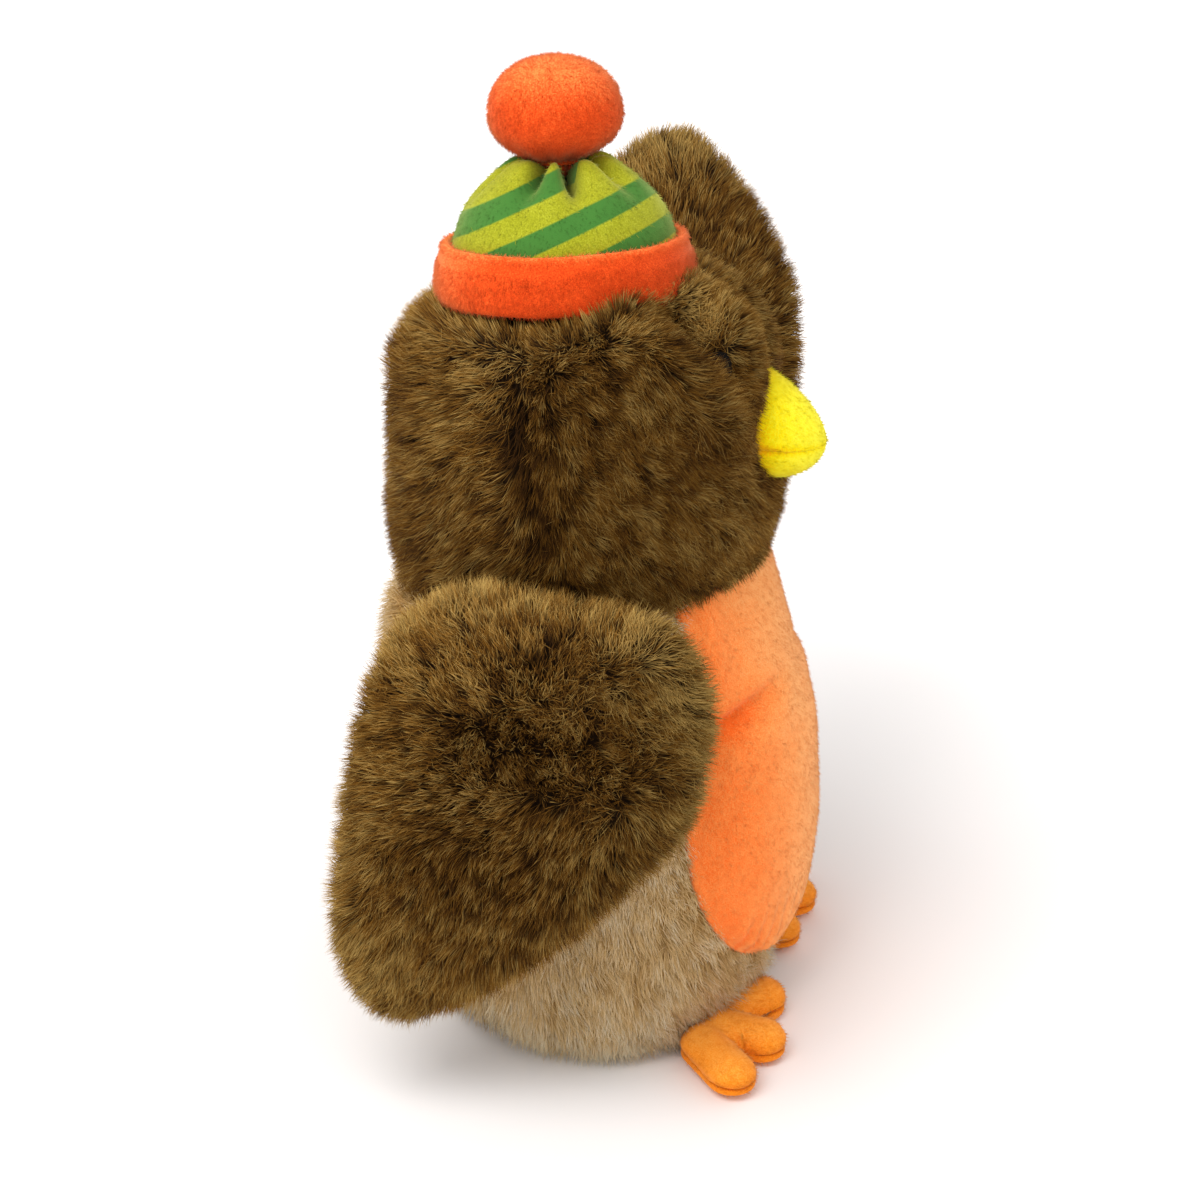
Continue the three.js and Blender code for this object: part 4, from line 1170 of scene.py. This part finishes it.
sweep = half_turn(EYE_ROWS)
shrink, bulge = profile(sweep, EYE_ROUND)
sideways = EYE_RADIUS * shrink * np.cos(angles)
upward = EYE_RADIUS * shrink * np.sin(angles)
height = np.where(sweep < 0, EYE_ROOT, EYE_THICK / 2) * bulge - EYE_SINK
height = height + THREAD_RIDGE * np.abs(np.sin(np.pi * sideways / THREAD_PITCH)) * (sweep > 0)
for side, place in eye_places.items():
    slope_x = face_depth(abs(place[0]) + 1, EYE_HEIGHT) - face_depth(abs(place[0]) - 1, EYE_HEIGHT)
    slope_z = face_depth(place[0], EYE_HEIGHT + 1) - face_depth(place[0], EYE_HEIGHT - 1)
    facing = unit(np.array([-np.sign(place[0]) * slope_x / 2, -1, -slope_z / 2]))
    level = unit(np.cross(facing, (0, 0, 1)))
    upright = np.cross(level, facing)
    dome = sideways[..., None] * level + upward[..., None] * upright + height[..., None] * facing
    piece(grid_mesh(side + "_eye_thread", from_head(dome[:, ::-1] + place)), thread, "head", "black_thread",
          [side + "_eye"])

# %% [markdown]
# ## Beak
#
# The beak is a blunt cone of yellow plush in two panels. The seam lies below its middle and runs to
# the tip. Each panel is its part of the cone, closed along the seam.

# %% Beak panels
BEAK_LENGTH = 29
BEAK_ROOT = 57
BEAK_DROOP = 0.38
BEAK_SEAM = -0.17  # the seam's height as a share of the half height
BEAK_ROUND = 1.8
BEAK_START = -0.35  # the angle where the cone begins, inside the face
SEAM_DIP = 0.9
BEAK_ROWS = 44
BEAK_COLUMNS = 49


def beak_grid(upper):
    """Rows from the root to the tip of the cone, columns over one panel from seam to seam, then back
    along the flat seam."""
    sweep = np.linspace(BEAK_START, np.pi / 2, BEAK_ROWS)[:, None]
    shrink, bulge = profile(sweep, BEAK_ROUND)
    ahead = bulge * np.where(sweep < 0, BEAK_LENGTH / 3, BEAK_LENGTH - PILE_INSET)
    seam = np.arcsin(BEAK_SEAM)
    share = np.linspace(0, 1, BEAK_COLUMNS)
    span = np.pi - 2 * seam if upper else np.pi + 2 * seam
    around = (seam if upper else np.pi - seam) + span * share
    to_edge = np.minimum(share, 1 - share) * span * BEAK_HALF_WIDTH * shrink
    dip = SEAM_DIP * fade(to_edge, 0, 3.5) * shrink + PILE_INSET
    x = (BEAK_HALF_WIDTH - dip) * shrink * np.cos(around)
    z = BEAK_HEIGHT - BEAK_DROOP * ahead + (BEAK_HALF_HEIGHT - dip) * shrink * np.sin(around)
    panel = xyz(x, -BEAK_ROOT - ahead, z)
    back = np.linspace(1, 0, 9)[1:-1, None]
    close = panel[:, :1] + (panel[:, -1:] - panel[:, :1]) * back
    return np.concatenate([panel, close], axis=1)


beak = {}
for part, nodes in (("upper", ["beak_upper", "beak_stuffing"]), ("lower", ["beak_lower"])):
    panel = from_head(beak_grid(part == "upper"))
    beak[part] = plush_piece(f"beak_{part}_plush", panel, "yellow_plush", "head", nodes)

# %% [markdown]
# ## The hat's printed cloth
#
# The green stripes are printed on the lime cloth, so they are slanted planes cut through the crown. The
# crown's mesh carries the place across the print, and the material turns it into ink.

# %% Crown cloth
STRIPE_PITCH = 16.0
STRIPE_HALF_WIDTH = 3.8
STRIPE_START = 23.6
STRIPE_SLANT = np.array([0, 0.42, 1.0])
STRIPE_EDGE = STRIPE_HALF_WIDTH / STRIPE_PITCH
INK_BLEED = 0.02
DART_PLACE = -8.0  # where the deepest dart of the gather runs, from the hat's middle to the front


def printed(points):
    """The place across the print, in stripes: a whole number is the middle of a green stripe. In front
    of the dart, above the first stripe that clears it, the gather spreads the print out."""
    own = to_hat(points)
    along = (own @ STRIPE_SLANT - STRIPE_START) / STRIPE_PITCH
    ahead = step(DART_PLACE - own[:, 1], -1.0, 1.0)
    return along - 0.5 * ahead * np.maximum(along - 0.27, 0)


striped_cloth = backing_material("striped_plush", *LIME[:3], rim=LIME[3])
tree = striped_cloth.node_tree
shader = next(n for n in tree.nodes if n.type == "BSDF_PRINCIPLED")
dyed = shader.inputs["Base Color"].links[0].from_socket
place = node(tree, "Attribute", attribute_name="printed")
gap = node(tree, "Math", {0: place.outputs["Fac"], 1: 0.5}, operation="PINGPONG")
ink = node(tree, "MapRange", {"Value": gap, "From Min": STRIPE_EDGE + INK_BLEED,
                              "From Max": STRIPE_EDGE - INK_BLEED})
inked = node(tree, "Mix", {"Factor": ink, 6: dyed, 7: linear(GREEN[1])}, data_type="RGBA")
tree.links.new(inked.outputs[2], shader.inputs["Base Color"])
print("stripes", STRIPE_PITCH, "mm apart")

# %% [markdown]
# ## Hat
#
# The cuff is a roll of plush round the foot of the crown. The crown is a dome whose top is gathered
# under the pompom: folds run down from the gather and fade out.

# %% Hat forms
CUFF_RADIUS = 46.5
CUFF_WALL = 5.4
CUFF_HEIGHT = 21
CUFF_TAPER = 3
CUFF_ROUND_UP = 4.5
CUFF_ROUND_OUT = 2.6
CUFF_MIDDLE = CUFF_RADIUS - CUFF_WALL / 2
CROWN_RADIUS = 40.8
CROWN_START = 2
CROWN_HEIGHT = 47
CROWN_ROUND = 2.3
GATHER_DEPTH = 6
GATHER_RADIUS = 13
GATHER_HOLE = 5.5
CREASES = np.radians([18, 60, 108, 166, 203, 246, 290, 332])
CREASE_SIZES = np.array([0.9, 0.7, 0.8, 0.9, 1.25, 0.6, 0.8, 0.7])
CREASE_WIDTH = np.radians(9)
PLUSH_WALL = 2.6
CROWN_ROWS = 60
CROWN_COLUMNS = 216
CUFF_ROWS = 40
crown_angles = circle(CROWN_COLUMNS)


def crown_rows(inset):
    """Rings of the dome from its foot to the hole in the gather. Each crease is a narrow dent round its
    own angle, deepest near the gather, and the cloth stands up between the creases."""
    radius = CROWN_RADIUS - inset
    last = np.arccos((GATHER_HOLE / radius) ** (CROWN_ROUND / 2))
    sweep = np.linspace(0, last, CROWN_ROWS)[:, None]
    ring = radius * np.cos(sweep) ** (2 / CROWN_ROUND)
    height = (CROWN_HEIGHT - CROWN_START - inset) * np.sin(sweep) ** (2 / CROWN_ROUND)
    off = (crown_angles[:, None] - CREASES + np.pi) % (2 * np.pi) - np.pi
    creased = (CREASE_SIZES * hump(off, 0, CREASE_WIDTH)).sum(axis=1)
    depth = 7.5 * hump(ring, 13, 12)
    full = 4.0 * hump(ring, 15, 8)
    dimple = GATHER_DEPTH * hump(ring, 0, GATHER_RADIUS)
    lift = CROWN_START + height - dimple + full - (depth + full) * creased
    out = ring + 1.2 * hump(ring, 30, 8) - 2.6 * creased * hump(ring, 24, 7)
    return rings(out, lift, crown_angles)


dome = tube(np.concatenate([crown_rows(PILE_INSET), crown_rows(PILE_INSET + PLUSH_WALL)[::-1]]))
crown_piece = piece(grid_mesh("hat_crown_plush", from_hat(dome), weld=True), striped_cloth, "head",
                    "lime_plush", ["hat_crown", "hat_stuffing"])
mark(crown_piece, "printed", printed)

section = circle(CUFF_ROWS)[:, None]
up = (CUFF_HEIGHT / 2 - PILE_INSET) * power(np.sin(section), 2 / CUFF_ROUND_UP) + CUFF_HEIGHT / 2 - 1
out_by = (CUFF_WALL / 2 - PILE_INSET) * power(np.cos(section), 2 / CUFF_ROUND_OUT)
out_by = out_by - CUFF_TAPER * step(up, 5, CUFF_HEIGHT)
soft = 0.5 * drift(rings(30, 0 * angles), 13, 9)
roll = tube(rings(CUFF_MIDDLE + out_by + soft, up + 0.6 * soft))
cuff = plush_piece("hat_cuff_plush", from_hat(roll), "red_orange_plush", "head", ["hat_cuff"],
                   weld=True)

# %% [markdown]
# ## Pompom
#
# A ball of plush drawn together over its filling and tied off with thread. The tie puckers the cloth
# just above it.

# %% Pompom
POMPOM_RADIUS = 23.5
POMPOM_RISE = 20
POMPOM_DROP = 15.5
POMPOM_STAND = 19
POMPOM_NECK = 5
POMPOM_ROUND = 2.2
POMPOM_TAPER = 1.15
POMPOM_SHIFT = (0, 1.2, 0.4)
PUCKERS = 9
PUCKER_DEPTH = 1.1
TIE_THREAD = 0.9
POMPOM_ROWS = 60


def from_pompom(points):
    """Points of the pompom's frame, which stands in the gather, in the toy's frame."""
    return points @ (head_turned @ hat_turned).T + hinge["pompom_wobble"] + POMPOM_SHIFT


sweep = half_turn(POMPOM_ROWS)
taper = np.where(sweep < 0, POMPOM_TAPER, 2 / POMPOM_ROUND)
reach = np.where(sweep < 0, POMPOM_DROP, POMPOM_RISE - PILE_INSET)
ring = (POMPOM_RADIUS - PILE_INSET) * np.maximum(np.cos(sweep), 0) ** taper
height = reach * power(np.sin(sweep), 2 / POMPOM_ROUND) + POMPOM_STAND
pucker = PUCKER_DEPTH * np.cos(PUCKERS * angles + np.sin(2 * angles)) * hump(height, 5, 5)
ring = np.where(height < POMPOM_STAND, np.maximum(ring, POMPOM_NECK * (sweep > -np.pi / 2)), ring)
globe = rings(ring + pucker, height)
globe = globe + 0.5 * unit(globe - (0, 0, POMPOM_STAND)) * drift(globe, 16, 8)[..., None]
stem = rings(POMPOM_NECK, 0 * angles)[None]
low = np.array([0, 0, -1.0])
globe = np.concatenate([stem * 0 + low, stem * 0.9 + low, stem + (0, 0, 3.5), globe[1:]])
pompom = plush_piece("pompom_plush", from_pompom(globe), "red_orange_plush", "pompom",
                     ["pompom_cover", "pompom_stuffing"])
turns = np.linspace(0, 2 * np.pi, 13)[:-1, None]
coil = POMPOM_NECK + 0.3 + TIE_THREAD * (1 + np.cos(turns))
coil_up = 1.3 + TIE_THREAD * (2.2 + np.sin(turns)) + 0.12 * np.sin(24 * angles)
tie = from_pompom(tube(rings(coil, coil_up)))
plush_piece("pompom_tie_thread", tie, "red_orange_plush", "pompom", ["pompom_tie"], weld=True)

# %% [markdown]
# ## Feet
#
# A foot is sewn from an upper and a flat sole, stuffed, then stitched down between its three toes.
# Its outline is how far a ray from the instep's middle travels before it leaves the instep and the
# toes. The upper swells over each toe on its own, which leaves the stitched valleys between them,
# and the seam draws both panels in all round.

# %% Foot forms
FOOT_HEIGHT = 15
FOOT_SEAM = 5.5
FOOT_FLAT = 0.6
FOOT_BLUNT = 0.6
FOOT_MERGE = 7  # how sharply one toe's swelling gives way to the next
TOE_HEADINGS = np.radians([-38, 8, 49])
TOE_REACHES = np.array([46, 42.5, 46])
TOE_HALF_WIDTH = 9.6
INSTEP_RADIUS = 15.5
FOOT_ROWS = 44
FOOT_COLUMNS = 200
RAY_LENGTH = 60
RAY_STEPS = 1201
SWELL_SHARES = np.array([0.72, 1, 1, 1])[:, None, None]  # the instep's height, then each toe's
foot_middle = np.array([0, -INSTEP_RADIUS - 3.0])
toe_ways = np.stack([np.sin(TOE_HEADINGS), -np.cos(TOE_HEADINGS)], axis=1)
toe_ends = toe_ways * (TOE_REACHES - TOE_HALF_WIDTH)[:, None]


def foot_gaps(flat):
    """For places on the floor, the distance to the instep's middle and to each toe's middle line, as
    shares of the instep's radius and of a toe's half width."""
    shares = [norm(flat - (0, -INSTEP_RADIUS)) / INSTEP_RADIUS]
    for toe, end in zip(toe_ways, toe_ends):
        along = np.clip((flat @ toe) / (end @ toe), 0.45, 1)
        shares.append(norm(flat - along[..., None] * end) / TOE_HALF_WIDTH)
    return np.array(shares)


around = circle(FOOT_COLUMNS)
way = np.stack([np.cos(around), np.sin(around)], axis=1)
along_ray = np.linspace(0, RAY_LENGTH, RAY_STEPS)[:, None]
within = foot_gaps(foot_middle + along_ray[..., None] * way).min(axis=0) < 1
foot_edge = (along_ray * within).max(axis=0)
foot_edge = sum(np.roll(foot_edge, k) for k in (-1, 0, 1)) / 3


def foot_rows(upper):
    """Rows from the sole's middle to the seam, or from the seam to the top. The upper swells over the
    instep and over each toe as sqrt(1 - share^2), and the largest swelling wins."""
    t = np.linspace(0, 1, FOOT_ROWS)[:, None]
    sweep = np.pi / 2 * (t if upper else t - 1)
    shrink = np.maximum(np.cos(sweep), 0) ** FOOT_BLUNT
    flat = foot_middle + (foot_edge * shrink)[..., None] * way
    if upper:
        swells = np.sqrt(np.maximum(1 - foot_gaps(flat) ** 2, 0)) * SWELL_SHARES
        height = (FOOT_HEIGHT - FOOT_SEAM) * (swells ** FOOT_MERGE).sum(axis=0) ** (1 / FOOT_MERGE)
    else:
        rise = np.broadcast_to(power(np.sin(sweep), FOOT_BLUNT), flat.shape[:2])
        height = (FOOT_SEAM - FOOT_FLAT) * rise
    drawn = PILE_INSET + 1.2 * hump(height, 0, 2.2)
    flat = flat - way * drawn[..., None] * step(shrink, 0.5, 0.9)[..., None]
    rows = np.concatenate([flat, FOOT_SEAM + height[..., None]], axis=-1)
    centre = np.append(foot_middle, FOOT_SEAM)
    lid = centre + ((rows[:1] if upper else rows[-1:]) - centre) * np.array([0.0, 0.5])[:, None, None]
    return np.concatenate([lid, rows] if upper else [rows, lid[::-1]])


feet = {}
for side, sign in SIDES.items():
    for part, solids in (("upper", ("upper", "stuffing")), ("sole", ("sole",))):
        placed = foot_rows(part == "upper") * (sign, 1, 1) + hinge[side + "_foot_lift"] * (1, 1, 0)
        nodes = [f"{side}_foot_{solid}" for solid in solids]
        # The right foot is a mirror image, so its columns run the other way round.
        feet[side, part] = plush_piece(f"{side}_foot_{part}_plush", placed[:, ::sign], "amber_plush",
                                       side + "_foot", nodes)

# %% [markdown]
# ## Base
#
# The underside is one oval of the beige cloth, sheared short, sewn into the body's lower edge.

# %% Base panel
BASE_WALL = 5
BASE_INSET = 1
base_share = body_share(0.0)
oval_y = body_depth((BODY_HALF_DEPTH - BASE_INSET / base_share) * np.sin(angles), 0.0)
oval = xyz((BODY_HALF_WIDTH * base_share - BASE_INSET) * np.cos(angles), oval_y, 0.0)
centre = oval.mean(axis=0)
shares = np.array([0, 0.3, 0.6, 0.9, 0.975, 1.0, 1.0, 0.97, 0.6, 0.0])[:, None, None]
lifts = np.array([0, 0, 0, 0, 0.25, 1.3, 3.7, BASE_WALL, BASE_WALL, BASE_WALL])[:, None, None]
disc = centre + (oval - centre) * shares + lifts * np.array([0, 0, 1.0])
piece(grid_mesh("base_panel_cloth", disc), beige_backing, "torso", "beige_fur", ["base_panel"])

# %% [markdown]
# ## The short plush pile
#
# The plush pieces get their own short pile, so their edges are fuzzy and their surface has a nap. It
# grows only where it shows. On the crown a strand is lime or green by where its root lies in the print.

# %% Plush pile
DOWN = (0.0, 0.0, -1.0)
FORWARD = (0.0, -1.0, -0.3)
PAINTED_LIGHT_GAIN = 1.3  # how much more the painted light and shade change a strand than the backing under it
FOOT_STRANDS = {"upper": 5000, "sole": 1500}
CROWN_STRANDS = 10000


def breast_front(points):
    """Only the breast's outer face has pile."""
    return np.abs(points[:, 1] - body_front(points[:, 0], points[:, 2], -PILE_INSET)[:, 1]) < 7


def outside_hat(points):
    """The cuff's outside and rim, and the crown above the cuff."""
    own = to_hat(points)
    return (norm(own[:, :2]) > CUFF_MIDDLE) | (own[:, 2] > CUFF_HEIGHT - 4)


def cuff_painted_light(points):
    """Painted light and shade: pale on the rolled rim and towards the back, deep below the rim."""
    own = to_hat(points)
    return 0.3 * step(own[:, 2], 15, 21) + 0.2 * step(own[:, 1], 5, 42) - 0.12


def pompom_painted_light(points):
    """Painted shade in the puckers above the tie and painted light over the top."""
    height = points[:, 2] - hinge["pompom_wobble"][2]
    return -0.06 - 0.3 * fade(height, 6, 16) + 0.3 * step(height, 20, 42)


def beak_painted_light(points):
    """Painted shade where the beak meets the face and along the seam, painted light at the tip."""
    own = to_head(points)
    ahead = -own[:, 1] - BEAK_ROOT
    seam = BEAK_SEAM * BEAK_HALF_HEIGHT * (1 - ahead / 40)
    by_seam = np.abs(own[:, 2] - BEAK_HEIGHT + BEAK_DROOP * ahead - seam)
    return 0.24 * step(ahead, 6, 28) - 0.34 * fade(ahead, 1, 14) - 0.22 * fade(by_seam, 0, 3)


def foot_painted_light(points):
    """Painted shade at the seam, painted light on top."""
    return 0.14 * step(points[:, 2], 7, 14) - 0.1 * hump(points[:, 2], FOOT_SEAM, 1.4)


def printed_tone(root, shade):
    """Under half for lime and over half for green."""
    place = printed(root)
    green_root = np.abs(place - np.round(place)) < STRIPE_EDGE
    return np.where(green_root, 0.53, 0.02) + 0.45 * np.clip(shade, 0, 1)


plush_rows = [
    (breast, "orange_plush", "torso", 31000, DOWN, breast_front, breast_painted_light),
    (cuff, "red_orange_plush", "head", 16500, DOWN, outside_hat, cuff_painted_light),
    (pompom, "red_orange_plush", "pompom", 14000, DOWN, None, pompom_painted_light),
    (beak["upper"], "yellow_plush", "head", 4000, FORWARD, None, beak_painted_light),
    (beak["lower"], "yellow_plush", "head", 2200, FORWARD, None, beak_painted_light),
]
for (side, part), foot in feet.items():
    plush_rows.append((foot, "amber_plush", side + "_foot", FOOT_STRANDS[part], FORWARD, None, foot_painted_light))
for made, dye, body, count, lean, keep, nap in plush_rows:
    # Each piece's painted light and shade goes to its backing as the nap attribute and, stronger, to its
    # pile.
    mark(made, "nap", nap)
    pile = plush(made, count, lean, keep, count, lambda root, shade: shade + PAINTED_LIGHT_GAIN * nap(root))
    piece(pile, plush_pile[dye], body, dye)
crown_pile = plush(crown_piece, CROWN_STRANDS, DOWN, outside_hat, 31, printed_tone)
piece(crown_pile, striped_pile, "head", "lime_plush")

# %% [markdown]
# ## Squeaker
#
# The squeaker inside keeps its imported solids, in moulded plastic with the fine orange-peel of a mould.
# Only its bellows is drawn again, as a folded wall at rest; in the toy it flattens when the cap is pressed.

# %% Squeaker plastic
BELLOWS_LOW = 75.3
BELLOWS_HEIGHT = 19.8
BELLOWS_RADIUS = 20
BELLOWS_PLEATS = 3
BELLOWS_WALL = 1.2
PLEAT_DEPTH = 5
BELLOWS_ROWS = 49
BELLOWS_COLUMNS = 72
PEEL = 1.5  # the size in mm of the orange-peel

# Blow-moulded polyethylene: milky, half matt, with a fine orange-peel.
plastic, tree = new_material("white_polyethylene")
place = node(tree, "TexCoord")
peel = node(tree, "TexNoise", {"Vector": place.outputs["Object"], "Scale": 1 / (PEEL * MM)})
tone = node(tree, "ValToRGB", {0: peel.outputs["Fac"]}, stops=[(0.3, "#dededa"), (0.7, "#f2f2ee")])
relief = node(tree, "Bump", {"Height": peel.outputs["Fac"], "Strength": 0.1, "Distance": 0.2 * MM})
shader = node(tree, "BsdfPrincipled", {"Base Color": tone, "Roughness": 0.42, "Normal": relief})
node(tree, "OutputMaterial", {"Surface": shader})
for name, solid in frame["nodes"].items():
    if name.startswith("squeaker"):
        solid.data.materials.clear()
        solid.data.materials.append(plastic)

rise = np.linspace(0, 1, BELLOWS_ROWS)
around = circle(BELLOWS_COLUMNS)
wave = BELLOWS_RADIUS - PLEAT_DEPTH * (0.5 + 0.5 * np.cos(2 * np.pi * BELLOWS_PLEATS * rise))
heights = BELLOWS_LOW + BELLOWS_HEIGHT * rise
wall_radius = np.concatenate([wave, wave[::-1] - BELLOWS_WALL])[:, None]
wall_height = np.concatenate([heights, heights[::-1]])[:, None]
folds = tube(rings(wall_radius, wall_height, around))
bellows = piece(grid_mesh("squeaker_bellows_wall", folds, weld=True), plastic, "torso", "white_plastic",
                ["squeaker_bellows"])
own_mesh(bellows)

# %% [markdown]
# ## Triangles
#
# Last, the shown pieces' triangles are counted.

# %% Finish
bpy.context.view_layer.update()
meshes = [made.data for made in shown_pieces() if made.type == "MESH"]
triangles = sum(len(mesh.loops) - 2 * len(mesh.polygons) for mesh in meshes)
print(len(meshes), "pieces,", triangles, "triangles")
